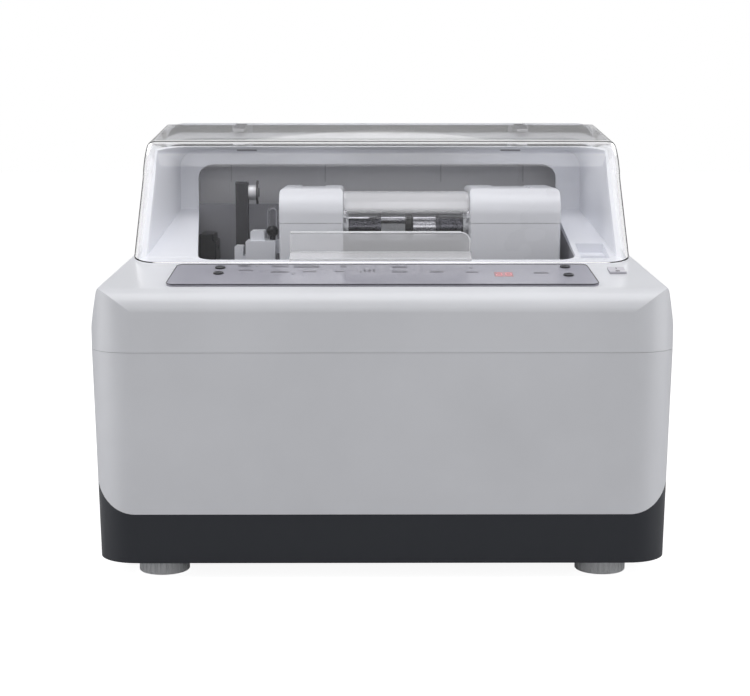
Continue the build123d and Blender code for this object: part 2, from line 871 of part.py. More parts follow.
def make_chamber_surround():
    """White funnel under the lid: sloping floor, side walls and rear wall with the chamber opening."""
    lean = tan(radians(surround_front_lean))
    fall = (lid_top_z - lid_bend_z) / (lid_back_y - lid_bend_y)
    foot_z = deck_z(surround_front_y)
    rise = surround_top_z - foot_z - fall * (surround_back_y - surround_front_y)
    lean_z = foot_z + rise / (1 - fall * lean)
    lean_y = surround_front_y + (lean_z - foot_z) * lean
    side = (
        (well_front_y, deck_z(well_front_y) - surround_wall),
        (well_front_y, deck_z(well_front_y)),
        (surround_front_y, foot_z),
        (lean_y, lean_z),
        (surround_back_y, surround_top_z),
        (surround_back_y, deck_z(surround_back_y) - surround_wall),
    )
    shell = side_prism(side, -well_half, well_half)
    shell &= hood_prism(lid_wall + surround_side_gap, split_z, surround_top_z + lid_wall * 2, -depth, depth)
    start = well_front_y - over
    slope = (panel_low_z - deck_z(well_front_y)) / (chamber_back_y - well_front_y)
    mouth = ((-well_half + surround_wall, deck_z(well_front_y) - over * slope),
             (well_half - surround_wall, deck_z(well_front_y) - over * slope),
             (well_half - surround_wall, height - surround_wall),
             (-well_half + surround_wall, height - surround_wall))
    back = ((-panel_half, panel_low_z), (panel_half, panel_low_z), (panel_half, panel_top_z),
            (-panel_half, panel_top_z))
    sections = []
    for points, y in ((mouth, start), (back, chamber_back_y)):
        sketch = make_face(Polyline(*points, close=True))
        sketch = fillet(sketch.vertices().sort_by(Axis.Y)[-2:], panel_corner_radius)
        sections.append(Plane.XZ.offset(-y) * sketch)
    shell -= loft(sections, ruled=True)
    shell -= extrude(Pos(0, 0, tub_floor_z) * chamber_plan(0), amount=panel_low_z - tub_floor_z)
    window = ((chamber_left_x, tub_floor_z), (chamber_right_x, tub_floor_z),
              (chamber_right_x, chamber_top_z), (chamber_left_x, chamber_top_z))
    shell -= front_prism(window, chamber_back_y - over, surround_back_y + over,
                         ((2, chamber_corner_radius), (3, chamber_corner_radius)))
    slot_z = (chamber_top_z + panel_top_z) / 2
    for x in (-latch_slot_x, latch_slot_x):
        shell -= block(x - latch_slot_width / 2, x + latch_slot_width / 2, chamber_back_y - over,
                       chamber_back_y + surround_wall / 2, slot_z, slot_z + latch_slot_height)
    pocket_x = (pocket_left_x + pocket_right_x) / 2
    pocket_y = (pocket_front_y + pocket_back_y) / 2
    pocket_w, pocket_d = pocket_right_x - pocket_left_x, pocket_back_y - pocket_front_y
    place = deck_plane(pocket_x, pocket_y)
    tray = Box(pocket_w + surround_wall * 2, pocket_d + surround_wall * 2, pocket_depth)
    shell += place * Pos(0, 0, -surround_wall / 2 - pocket_depth / 2) * tray
    shell -= place * Pos(0, 0, over / 2) * Box(pocket_w, pocket_d, pocket_depth * 2 + over)
    rib = Box(pocket_w, pocket_rib, pocket_rib_height)
    shell += place * Pos(0, 0, -pocket_depth + pocket_rib_height / 2) * rib
    return one(shell)


def make_chamber_tub():
    """Grey tub under the opening with a round wheel well, drain spigot and lugs for the grooving arm."""
    y0, y1 = chamber_front_y - tub_wall, chamber_back_y + tub_wall
    drop = surround_wall + fit_gap
    tub = extrude(Pos(0, 0, tub_floor_z - tub_wall) * chamber_plan(tub_wall), amount=height - tub_floor_z)
    below = side_prism(((y0, 0), (y0, deck_z(y0) - drop), (y1, deck_z(y1) - drop), (y1, 0)), -width, width)
    tub &= below
    tub -= extrude(Pos(0, 0, tub_floor_z) * chamber_plan(0), amount=height - tub_floor_z)
    tub -= block(tub_slot_left_x, tub_slot_right_x, chamber_back_y - over, chamber_back_y + over * 2,
                 tub_back_lip_z, height)
    for left, right in ((chamber_left_x + fit_gap, tub_slot_left_x),
                        (tub_slot_right_x, chamber_right_x - fit_gap)):
        tub += block(left, right, chamber_back_y, chamber_back_y + tub_wall, tub_back_lip_z, tub_back_top_z)
    pocket_gap = fit_gap + surround_wall
    tub -= block(pocket_left_x - pocket_gap, width, pocket_front_y - pocket_gap - over,
                 pocket_back_y + pocket_gap + over, deck_z(pocket_front_y) - pocket_depth * 2, height)

    def well(radius, left, right, top):
        """Round-bottomed trough about the spindle axis."""
        trough = rod_x(radius, left, right, spindle_y, spindle_z)
        trough -= block(left - over, right + over, spindle_y - radius - over, spindle_y + radius + over,
                        spindle_z + fit_gap, height)
        return trough + block(left, right, spindle_y - radius, spindle_y + radius, spindle_z, top)

    tub += well(well_radius + tub_wall, wheel_well_left_x - tub_wall, wheel_well_right_x + tub_wall,
                tub_floor_z)
    bottom = spindle_z - well_radius - tub_wall
    tub += rod_z(drain_radius - running_gap, bottom - drain_spigot, bottom + tub_wall, drain_x, spindle_y)
    tub -= well(well_radius, wheel_well_left_x, wheel_well_right_x, tub_floor_z + over)
    tub -= rod_z(drain_radius - drain_wall, bottom - drain_spigot - over, spindle_z, drain_x, spindle_y)
    tub -= rod_x(spindle_radius + seal_gap, wheel_well_right_x - over, housing_left_x, spindle_y, spindle_z)
    for left, right in groove_ears():
        tub += block(left, right, groove_y - groove_boss_radius, groove_y + groove_boss_radius,
                     tub_floor_z - tub_wall, groove_pivot_z)
        tub += rod_x(groove_boss_radius, left, right, groove_y, groove_pivot_z)
        tub -= rod_x(groove_pivot_radius + running_gap, left - over, right + over, groove_y, groove_pivot_z)
    return one(tub)


def make_chamber_back():
    """Grey ribbed hood behind the rear opening, above the carriage's bridge."""
    front, rear = surround_back_y + fit_gap, backdrop_y + backdrop_wall
    wall = backdrop_wall
    outline = ((-backdrop_half, backdrop_low_z), (-backdrop_half, backdrop_top_z),
               (backdrop_half, backdrop_top_z), (backdrop_half, backdrop_low_z))
    shell = front_prism(outline, front, rear, ((1, chamber_corner_radius), (2, chamber_corner_radius)))
    inner = ((-backdrop_half + wall, backdrop_low_z - over), (-backdrop_half + wall, backdrop_top_z - wall),
             (backdrop_half - wall, backdrop_top_z - wall), (backdrop_half - wall, backdrop_low_z - over))
    shell -= front_prism(inner, front - over, backdrop_y,
                         ((1, chamber_corner_radius - wall), (2, chamber_corner_radius - wall)))
    for share in backdrop_rib_shares:
        x = share * backdrop_half
        shell += block(x - backdrop_rib_width / 2, x + backdrop_rib_width / 2, backdrop_y - wall,
                       backdrop_y + wall / 2, backdrop_low_z, backdrop_top_z - wall / 2)
    return one(shell)


def groove_ears():
    """Left and right ends of the two lugs that carry the grooving arm's pivot."""
    left = groove_arm_left_x - groove_ear_gap
    right = groove_arm_right_x + groove_ear_gap
    return ((left - groove_ear, left), (right, right + groove_ear))


# Control panel and switch.


def make_control_panel():
    """Dark plate lying on the deck with holes for four keys and the display."""
    rise = panel_thickness
    plan = make_face(Polyline((-panel_front_half, panel_front_y), (panel_front_half, panel_front_y),
                              (panel_back_half, panel_back_y), (-panel_back_half, panel_back_y), close=True))
    plan = fillet(plan.vertices(), panel_radius)
    plate = extrude(Pos(0, 0, split_z) * plan, amount=height - split_z) & above_deck(0, rise)
    for x, y in key_places.values():
        plate -= deck_plane(x, y) * Cylinder(key_radius + key_gap, over * 4)
    plate -= deck_plane(display_x, display_y) * Box(display_width, display_depth, over * 4)
    return one(plate)


def make_key(x, y):
    """Round push key with a dished face."""
    top = panel_thickness + key_proud
    down = (Align.CENTER, Align.CENTER, Align.MAX)
    key = Pos(0, 0, top) * Cylinder(key_radius, top + key_stem, align=down)
    key = fillet(key.edges().sort_by(Axis.Z)[-1], key_proud / 2)
    key -= Pos(0, 0, top + key_radius * 2 - key_travel) * Sphere(key_radius * 2)
    return one(deck_plane(x, y) * key)


def make_display():
    """Window of the lit display, level with the panel."""
    size = (display_width - running_gap * 2, display_depth - running_gap * 2, display_thickness)
    window = Box(*size, align=(Align.CENTER, Align.CENTER, Align.MAX))
    return one(deck_plane(display_x, display_y) * Pos(0, 0, panel_thickness) * window)


def make_power_switch():
    """Rocker with a bent face on a cross pin."""
    half = switch_length / 2
    lift = tan(radians(switch_tilt_deg)) * half
    reach = switch_width / 2
    points = ((-half, switch_proud + lift), (0, switch_proud), (half, switch_proud + lift / 2),
              (half - switch_proud, -switch_depth), (-half + switch_proud, -switch_depth))
    face = make_face(Polyline(*points, close=True))
    rocker = extrude(Plane.YZ.offset(-reach) * face, amount=switch_width)
    pin = Rot(0, 90, 0) * Cylinder(switch_pin_radius, switch_width + switch_gap * 2 + switch_cheek * 2)
    rocker += Pos(0, 0, -switch_pin_depth) * pin
    return one(deck_plane(switch_x, switch_y) * rocker)


# Rear panel and its fittings.


def make_rear_panel():
    """Recessed grey panel with louvre slots and holes for the fittings."""
    half, low, high = recess_half - fit_gap, recess_low_z + fit_gap, recess_high_z - fit_gap
    rear = back_y - (split_z - recess_low_z) * tan(radians(draft_deg)) - fit_gap
    panel = block(-half, half, recess_floor_y, rear, low, high)
    panel -= block(-half + recess_wall, half - recess_wall, recess_floor_y + recess_wall, rear + over,
                   low + recess_wall, high - recess_wall)
    floor = (recess_floor_y - over, recess_floor_y + over)
    for row in range(vent_rows):
        for column in range(vent_columns):
            x, z = vent_left_x + column * vent_column_pitch, vent_low_z + row * vent_pitch
            panel -= block(x, x + vent_width, *floor, z, z + vent_height)
    gap = fit_gap / 2
    panel -= block(inlet_x - inlet_width / 2 - gap, inlet_x + inlet_width / 2 + gap, *floor,
                   inlet_z - inlet_height / 2 - gap, inlet_z + inlet_height / 2 + gap)
    panel -= rod_y(drain_radius + drain_wall + gap, *floor, drain_x, drain_z)
    panel -= rod_y(water_radius + gap, *floor, water_x, water_z)
    return one(panel)


def make_power_inlet():
    """Mains inlet with three blades in its socket."""
    face_y = recess_floor_y + recess_wall
    half_w, half_h = inlet_width / 2, inlet_height / 2
    body = block(inlet_x - half_w, inlet_x + half_w, face_y - inlet_depth, face_y + inlet_proud,
                 inlet_z - half_h, inlet_z + half_h)
    body += block(inlet_x - half_w - inlet_flange, inlet_x + half_w + inlet_flange, face_y,
                  face_y + inlet_proud, inlet_z - half_h, inlet_z + half_h)
    socket_y = face_y + inlet_proud - inlet_socket_depth
    body -= block(inlet_x - inlet_socket_width / 2, inlet_x + inlet_socket_width / 2, socket_y,
                  face_y + over, inlet_z - inlet_socket_height / 2, inlet_z + inlet_socket_height / 2)
    for step in (-1, 0, 1):
        x = inlet_x + step * inlet_socket_width / 4
        z = inlet_z + (1 - abs(step)) * inlet_socket_height / 5
        body += block(x - inlet_blade / 2, x + inlet_blade / 2, socket_y - over,
                      face_y, z - inlet_blade, z + inlet_blade)
    return one(body)


def make_drain_hose():
    """Hose from the well's spigot, down and out through the rear panel to a thicker cuff."""
    top = drain_hose_top_z
    path = Polyline((drain_x, spindle_y, top), (drain_x, spindle_y, drain_z), (drain_x, depth / 2, drain_z))
    bend = path.vertices().sort_by_distance(Vector(drain_x, spindle_y, drain_z))[0]
    path = fillet(bend, drain_bend_radius)
    outer = sweep(Pos(drain_x, spindle_y, top) * Circle(drain_radius + drain_wall), path=path)
    inner = sweep(Pos(drain_x, spindle_y, top) * Circle(drain_radius), path=path)
    outer += rod_y(drain_cuff_radius, depth / 2 - drain_cuff_length, depth / 2, drain_x, drain_z)
    return one(outer - inner)


def make_water_inlet():
    """Spigot for the coolant supply, with a flange on the rear panel."""
    face_y = recess_floor_y + recess_wall
    spigot = rod_y(water_radius, recess_floor_y - water_inside, depth / 2, water_x, water_z)
    spigot += rod_y(water_flange_radius, face_y, face_y + water_flange, water_x, water_z)
    spigot -= rod_y(water_bore, recess_floor_y - water_inside - over, depth / 2 + over, water_x, water_z)
    return one(spigot)


# Chassis, electrics and feet.


def supply_box():
    """Vented box of the power supply."""
    z0 = chassis_z + chassis_plate
    box = block(supply_left_x, supply_right_x, supply_front_y, supply_back_y, z0 - over / 2,
                z0 + supply_height)
    box -= block(supply_left_x + supply_wall, supply_right_x - supply_wall, supply_front_y + supply_wall,
                 supply_back_y - supply_wall, z0 + supply_wall, z0 + supply_height - supply_wall)
    pitch = (supply_right_x - supply_left_x) / (supply_slot_count + 1)
    for index in range(supply_slot_count):
        x = supply_left_x + pitch * (index + 1)
        box -= block(x - supply_slot / 2, x + supply_slot / 2, supply_front_y + pitch, supply_back_y - pitch,
                     z0 + supply_height / 2, z0 + supply_height + over)
    return box


def make_chassis():
    """Plate on four standoffs that carries everything inside, with the power supply box on it."""
    plate = block(-chassis_half, chassis_half, chassis_front_y, chassis_back_y, chassis_z,
                  chassis_z + chassis_plate)
    plate = fillet(plate.edges().filter_by(Axis.Z), back_corner_radius * 2)
    for x in (-standoff_x, standoff_x):
        for y in (-standoff_y, standoff_y):
            plate += rod_z(standoff_radius, base_z + base_floor, chassis_z, x, y)
    return one(plate + supply_box())


def make_foot(x, y):
    """Ribbed levelling foot on a stud that turns in the base."""
    top = base_z - foot_pad_gap
    foot = rod_z(foot_radius, 0, top, x, y)
    foot = chamfer(foot.edges().filter_by(GeomType.CIRCLE), foot_scallop_radius / 2)
    for index in range(foot_rib_count):
        angle = 2 * pi * index / foot_rib_count
        foot -= rod_z(foot_scallop_radius, foot_scallop_radius, top + over, x + foot_radius * cos(angle),
                      y + foot_radius * sin(angle))
    return one(foot + rod_z(foot_stud_radius, top, foot_stud_top_z, x, y))


# Grinding spindle and its drive.


def make_spindle_motor():
    """Finned motor on a cradle."""
    left, right = motor_left_x, motor_right_x
    core = motor_radius - motor_fin
    body = rod_x(core, left + motor_bell, right - motor_bell, motor_y, motor_z)
    body += rod_x(motor_bell_radius, left, right, motor_y, motor_z)
    pitch = (right - left - motor_bell * 2 - motor_fin) / (motor_fin_count - 1)
    for index in range(motor_fin_count):
        x = left + motor_bell + index * pitch
        body += rod_x(motor_radius, x, x + motor_fin, motor_y, motor_z)
    body += block(left + motor_bell, right - motor_bell, motor_y - motor_cradle_half,
                  motor_y + motor_cradle_half, chassis_z + chassis_plate, motor_z - motor_cradle_half)
    body -= rod_x(motor_shaft_radius + running_gap, right - motor_bore_depth, right + over, motor_y, motor_z)
    return one(body)


def make_motor_pulley():
    """Flanged belt pulley on the motor's shaft."""
    pulley = rod_x(motor_pulley_radius, pulley_left_x, pulley_left_x + pulley_width, motor_y, motor_z)
    return one(pulley + rod_x(motor_shaft_radius, motor_right_x - motor_bore_depth + running_gap,
                              pulley_left_x + pulley_width + motor_fin, motor_y, motor_z))


def make_drive_belt():
    """Flat belt round both pulleys."""
    def loop(extra):
        """The stretched outline round both pulleys."""
        small = Pos(spindle_y, spindle_z) * Circle(spindle_pulley_radius + extra)
        large = Pos(motor_y, motor_z) * Circle(motor_pulley_radius + extra)
        return make_hull(small.edges() + large.edges())

    inset = belt_thickness / 2
    band = loop(belt_gap + belt_thickness) - loop(belt_gap)
    return one(extrude(Plane.YZ.offset(pulley_left_x + inset) * band, amount=pulley_width - inset * 2))


def make_spindle_housing():
    """Round bearing housing on a webbed pedestal bolted to the chassis."""
    z0 = chassis_z + chassis_plate
    body = rod_x(housing_radius, housing_left_x, housing_right_x, spindle_y, spindle_z)
    sole_half = housing_foot_half + housing_sole_reach
    points = ((spindle_y - sole_half, z0), (spindle_y - sole_half, z0 + housing_sole),
              (spindle_y - housing_foot_half, z0 + housing_sole * 2),
              (spindle_y - housing_foot_half, spindle_z),
              (spindle_y + housing_foot_half, spindle_z),
              (spindle_y + housing_foot_half, z0 + housing_sole * 2),
              (spindle_y + sole_half, z0 + housing_sole), (spindle_y + sole_half, z0))
    body += side_prism(points, housing_foot_left_x, housing_foot_right_x)
    body -= rod_x(spindle_radius + running_gap, housing_left_x - over, housing_right_x + over,
                  spindle_y, spindle_z)
    return one(body)


def make_spindle():
    """Stepped grinding spindle with the wheel seat, inner flange and belt pulley."""
    seat_right = wheels_left_x + sum(wheel_widths) + wheel_gap
    left = wheels_left_x - flange_width - nut_width
    shaft = rod_x(spindle_radius, left, pulley_left_x + pulley_width, spindle_y, spindle_z)
    shaft += rod_x(spindle_nose_radius, wheels_left_x, seat_right, spindle_y, spindle_z)
    shaft += rod_x(flange_radius, seat_right, seat_right + flange_width, spindle_y, spindle_z)
    shaft += rod_x(spindle_pulley_radius, pulley_left_x, pulley_left_x + pulley_width, spindle_y, spindle_z)
    return one(shaft)


def make_rough_wheel():
    """Wide diamond wheel for shaping."""
    right = wheels_left_x + wheel_widths[0]
    wheel = rod_x(wheel_radius, wheels_left_x, right, spindle_y, spindle_z)
    wheel = chamfer(wheel.edges().filter_by(GeomType.CIRCLE), wheel_gap / 2)
    wheel -= rod_x(wheel_radius - wheel_grit * 2, wheels_left_x - over, wheels_left_x + wheel_grit,
                   spindle_y, spindle_z)
    wheel += rod_x(flange_radius, wheels_left_x, right, spindle_y, spindle_z)
    return one(wheel - rod_x(spindle_nose_radius, wheels_left_x - over, right + over, spindle_y, spindle_z))


def make_finishing_wheel():
    """Narrower wheel with the V groove that cuts the bevel."""
    left = wheels_left_x + wheel_widths[0] + wheel_gap
    right = left + wheel_widths[1]
    mid = (left + right) / 2
    points = ((spindle_nose_radius, left), (wheel_radius, left), (wheel_radius, mid - bevel_depth),
              (wheel_radius - bevel_depth, mid), (wheel_radius, mid + bevel_depth), (wheel_radius, right),
              (spindle_nose_radius, right))
    wheel = revolve(make_face(Polyline(*((r, 0, x) for r, x in points), close=True)), Axis.Z)
    return one(Pos(0, spindle_y, spindle_z) * Rot(0, 90, 0) * wheel)


def make_wheel_nut():
    """Flanged clamp nut with two flats."""
    right = wheels_left_x
    left = right - flange_width - nut_width
    nut = rod_x(nut_radius, left, right, spindle_y, spindle_z)
    nut &= block(left, right, spindle_y - nut_flats / 2, spindle_y + nut_flats / 2,
                 spindle_z - nut_radius, spindle_z + nut_radius)
    nut += rod_x(flange_radius, right - flange_width, right, spindle_y, spindle_z)
    return one(nut - rod_x(spindle_radius, left - over, right + over, spindle_y, spindle_z))


# Carriage guide.


def make_pedestal(side):
    """Upright that carries an end of the pivot shaft and of the lead screw."""
    z0 = chassis_z + chassis_plate
    top = pivot_z + pedestal_top
    x0 = side * pedestal_x - pedestal_width / 2
    y0, y1 = pedestal_front_y, pedestal_back_y
    points = ((y0 - pedestal_sole, z0), (y0 - pedestal_sole, z0 + pedestal_sole),
              (y0, z0 + pedestal_sole * 2),
              (y0, top), (y1, top), (y1, z0))
    post = side_prism(points, x0, x0 + pedestal_width, ((3, pedestal_top), (4, pedestal_top)))
    post -= rod_x(pivot_radius, x0 - over, x0 + pedestal_width + over, pivot_y, pivot_z)
    if side > 0:
        post -= rod_x(screw_radius + running_gap, x0 - over, x0 + pedestal_width + over, screw_y, screw_z)
    return one(post)


def make_pivot_shaft():
    """Ground shaft that the carriage slides along and swings about."""
    reach = pedestal_x + pedestal_width / 2
    shaft = rod_x(pivot_radius, -reach, reach, pivot_y, pivot_z)
    return one(chamfer(shaft.edges().filter_by(GeomType.CIRCLE), wheel_gap))


def make_lead_screw():
    """Screw that draws the saddle along."""
    right = pedestal_x + pedestal_width / 2
    screw = rod_x(screw_radius, screw_left_x, right, screw_y, screw_z)
    for index in range(screw_groove_count):
        x = saddle_left_x - screw_pitch * (index + 2)
        ring = rod_x(screw_radius + over, x, x + screw_pitch / 3, screw_y, screw_z)
        screw -= ring - rod_x(screw_radius - screw_thread, x - over, x + over, screw_y, screw_z)
    return one(screw)


def make_traverse_motor():
    """Square motor that turns the lead screw."""
    left = -pedestal_x + pedestal_width / 2
    half = traverse_motor_size / 2
    right = left + traverse_motor_length
    motor = block(left, right, screw_y - half, screw_y + half, screw_z - half, screw_z + half)
    motor = chamfer(motor.edges().filter_by(Axis.X), half / 5)
    bore = rod_x(screw_radius + running_gap, screw_left_x - fit_gap, right + over, screw_y, screw_z)
    return one(motor - bore)


def make_saddle():
    """Bush on the pivot shaft with the arm that holds the lead nut."""
    saddle = rod_x(saddle_radius, saddle_left_x, saddle_right_x, pivot_y, pivot_z)
    web_left, web_right = saddle_left_x + over, saddle_left_x + over + nut_boss_radius * 2
    web = side_prism(((pivot_y, pivot_z + nut_boss_radius), (screw_y, screw_z + nut_boss_radius),
                      (screw_y, screw_z - nut_boss_radius), (pivot_y, pivot_z - nut_boss_radius)),
                     web_left, web_right)
    saddle += web + rod_x(nut_boss_radius, web_left, web_right, screw_y, screw_z)
    saddle -= rod_x(pivot_radius + running_gap, saddle_left_x - over, saddle_right_x + over, pivot_y, pivot_z)
    saddle -= rod_x(screw_radius + running_gap, web_left - over, web_right + over, screw_y, screw_z)
    return one(saddle)


# Carriage frame and arm housings.


def make_carriage_frame():
    """Casting with two hubs on the pivot shaft, a windowed bridge and a plate in each arm."""
    frame = block(left_hub_x, right_hub_x + hub_length, bridge_front_y, bridge_back_y, bridge_low_z,
                  bridge_high_z)
    rim = (bridge_back_y - bridge_front_y) * bridge_rim_share
    for index in range(bridge_windows):
        span = right_hub_x - (left_hub_x + hub_length)
        step = span / bridge_windows
        x = left_hub_x + hub_length + step * index
        window = block(x + rim / 3, x + step - rim / 3, bridge_front_y + rim, bridge_back_y - rim,
                       bridge_low_z - over, bridge_high_z + over)
        frame -= fillet(window.edges().filter_by(Axis.Z), rim / 3)
    for x in (left_hub_x, right_hub_x):
        frame += rod_x(hub_radius, x, x + hub_length, pivot_y, pivot_z)
        frame += block(x, x + hub_length, bridge_front_y, bridge_hub_y, bridge_low_z, pivot_z + hub_radius)
    gap = arm_wall + fit_gap
    for x in (left_plate_x, right_plate_x):
        frame += side_prism((
            (arm_plate_front_y, arm_belly_z + gap), (arm_plate_front_y, arm_plate_corner_z),
            (arm_plate_top_y, arm_top_z - gap - arm_edge_radius),
            (arm_plate_top_y + arm_edge_radius, arm_top_z - gap),
            (arm_back_y - gap - arm_edge_radius, arm_top_z - gap),
            (arm_back_y - gap, arm_top_z - gap - arm_edge_radius), (arm_back_y - gap, bridge_high_z),
            (bridge_front_y + over, bridge_high_z), (bridge_front_y + over, bridge_low_z),
            (arm_back_y - gap, bridge_low_z), (arm_back_y - gap, arm_belly_z + gap),
        ), x, x + arm_plate)
    frame += rod_x(boss_radius, left_plate_x, left_arm_right_x + boss_reach, lens_y, lens_z)
    frame += rod_x(boss_radius, right_arm_left_x - boss_reach, right_plate_x + arm_plate, lens_y, lens_z)
    reach = boss_reach + over
    frame -= rod_x(lens_shaft_radius + running_gap, left_plate_x - over, left_arm_right_x + reach,
                   lens_y, lens_z)
    frame -= rod_x(sleeve_radius + running_gap, right_arm_left_x - reach, right_plate_x + arm_plate + over,
                   lens_y, lens_z)
    frame -= rod_x(sync_shaft_radius + running_gap, left_plate_x - over, right_plate_x + arm_plate + over,
                   sync_y, sync_z)
    frame -= rod_x(pivot_radius + running_gap, left_hub_x - over, right_hub_x + hub_length + over,
                   pivot_y, pivot_z)
    return one(frame)


def arm_cuts(inner_x, plate_x):
    """Holes of an arm housing: lens boss, cross shaft and the slot for the frame plate."""
    cut = rod_x(boss_radius + fit_gap, inner_x - over, inner_x + over, lens_y, lens_z)
    cut += rod_x(sync_shaft_radius + seal_gap, inner_x - over, inner_x + over, sync_y, sync_z)
    return cut + block(plate_x - fit_gap, plate_x + arm_plate + fit_gap, arm_back_y - arm_wall - over,
                       arm_back_y + over, bridge_low_z - fit_gap, bridge_high_z + fit_gap)


def make_arm_cover(left, right, inner_x, plate_x):
    """Rounded upper housing of an arm with a shallow recess across its top."""
    low = arm_seam_z + arm_seam_gap / 2

    def envelope(inset, side):
        """The cover's solid shape drawn in by inset, and by side at its two ends."""
        y0, y1, top, bottom = arm_front_y + inset, arm_back_y - inset, arm_top_z - inset, low - over
        return side_prism(((y0, bottom), (y0, top), (y1, top), (y1, bottom)), left + side, right - side,
                          ((1, arm_bend_radius - inset), (2, arm_edge_radius - inset)))

    crown_left, crown_right = left + arm_edge_radius * 2, right - arm_edge_radius * 2
    outline = ((left, low), (left, arm_top_z), (crown_left, arm_top_z), (crown_left, arm_top_z + over),
               (crown_right, arm_top_z + over), (crown_right, arm_top_z), (right, arm_top_z), (right, low))
    rounds = ((1, arm_edge_radius), (6, arm_edge_radius))
    cover = envelope(0, -over) & front_prism(outline, -depth, depth, rounds)
    cover -= envelope(arm_wall, arm_wall)
    middle, half = (left + right) / 2, (right - left) / 5
    cover -= block(middle - half, middle + half, arm_front_y + arm_bend_radius, arm_back_y + over,
                   arm_top_z - arm_top_recess, arm_top_z + over)
    return one(cover - arm_cuts(inner_x, plate_x))


def make_arm_skirt(left, right, inner_x, plate_x):
    """Lower housing of an arm, deeper at its front."""
    high = arm_seam_z - arm_seam_gap / 2
    points = ((arm_front_y, arm_low_z), (arm_front_y, high), (arm_back_y, high), (arm_back_y, arm_belly_z),
              (skirt_back_y, arm_belly_z), (skirt_back_y, arm_low_z))
    skirt = side_prism(points, left, right)
    edges = skirt.edges().filter_by(Axis.Z).filter_by(lambda e: e.center().Y < arm_front_y + over)
    skirt = fillet(edges, arm_edge_radius / 2)
    skirt -= block(left + arm_wall, right - arm_wall, arm_front_y + arm_wall, arm_back_y - arm_wall,
                   arm_belly_z + arm_wall, high + over)
    return one(skirt - arm_cuts(inner_x, plate_x))


# Lens shafts and their gears.


def gear(left, right, y, z, phase):
    """Straight-toothed wheel about an X axis, with a tooth at the phase angle."""
    pitch_radius = hypot(sync_y - lens_y, sync_z - lens_z) / 2
    module = pitch_radius * 2 / gear_teeth
    root = pitch_radius - module * gear_dedendum_share
    tip = pitch_radius + module * gear_addendum_share
    half = pi * module / 4 * (1 - gear_backlash_share)
    slope = tan(radians(gear_pressure_deg))
    root_half = half + (pitch_radius - root) * slope
    tip_half = half - (tip - pitch_radius) * slope
    points = []
    for index in range(gear_teeth):
        angle = phase + 2 * pi * index / gear_teeth
        for radius, offset in ((root, -root_half), (tip, -tip_half), (tip, tip_half), (root, root_half)):
            points.append((y + radius * cos(angle) - offset * sin(angle),
                           z + radius * sin(angle) + offset * cos(angle)))
    return side_prism(points, left, right)


def mesh_angle():
    """Direction from the lens axis to the cross shaft."""
    return atan2(sync_z - lens_z, sync_y - lens_y)


def make_left_lens_shaft():
    """Driving lens shaft with its gear."""
    shaft = rod_x(lens_shaft_radius, lens_shaft_left_x, chuck_face_x - chuck_length, lens_y, lens_z)
    return one(shaft + gear(left_gear_x, left_gear_x + gear_width, lens_y, lens_z, mesh_angle()))


def make_lens_chuck():
    """Chuck that takes the block stuck on a lens."""
    left = chuck_face_x - chuck_length
    chuck = rod_x(chuck_body_radius, left, chuck_face_x, lens_y, lens_z)
    chuck += rod_x(chuck_flange_radius, chuck_face_x - chuck_flange_width, chuck_face_x, lens_y, lens_z)
    chuck -= rod_x(chuck_socket_radius, chuck_face_x - chuck_socket_depth, chuck_face_x + over,
                   lens_y, lens_z)
    return one(chuck)


def make_clamp_sleeve():
    """Turning sleeve in which the clamp shaft slides."""
    sleeve = rod_x(sleeve_radius, sleeve_left_x, sleeve_right_x, lens_y, lens_z)
    sleeve += rod_x(sleeve_flange_radius, sleeve_left_x, sleeve_left_x + sleeve_flange, lens_y, lens_z)
    return one(sleeve - rod_x(clamp_shaft_radius + running_gap, sleeve_left_x - over, sleeve_right_x + over,
                              lens_y, lens_z))


def make_clamp_shaft():
    """Sliding lens shaft with a long gear that stays in mesh."""
    left = chuck_face_x + lens_gap + pad_length
    shaft = rod_x(clamp_shaft_radius, left, clamp_shaft_right_x, lens_y, lens_z)
    return one(shaft + gear(pinion_left_x, pinion_right_x, lens_y, lens_z, mesh_angle()))


def make_clamp_pad():
    """Rubber cup that presses on the lens."""
    left = chuck_face_x + lens_gap
    pad = rod_x(sleeve_flange_radius, left, left + pad_length, lens_y, lens_z)
    pad = chamfer(pad.edges().filter_by(GeomType.CIRCLE).sort_by(Axis.X)[-1], pad_dish_depth)
    return one(pad - rod_x(pad_dish_radius, left - over, left + pad_dish_depth, lens_y, lens_z))


def make_sync_shaft():
    """Cross shaft whose two gears keep the lens shafts in step."""
    phase = mesh_angle() + pi + pi / gear_teeth
    shaft = rod_x(sync_shaft_radius, sync_left_x, sync_right_x, sync_y, sync_z)
    for x in (left_gear_x, right_gear_x):
        shaft += gear(x, x + gear_width, sync_y, sync_z, phase)
    return one(shaft)


def make_lens_motor():
    """Square motor on the left plate that turns the cross shaft."""
    half = lens_motor_size / 2
    left, right = left_plate_x - lens_motor_length, left_plate_x
    motor = block(left, right, sync_y - half, sync_y + half, sync_z - half, sync_z + half)
    motor = chamfer(motor.edges().filter_by(Axis.X), half / 5)
    return one(motor - rod_x(sync_shaft_radius + running_gap, left - over, right + over, sync_y, sync_z))


# Clear guards.


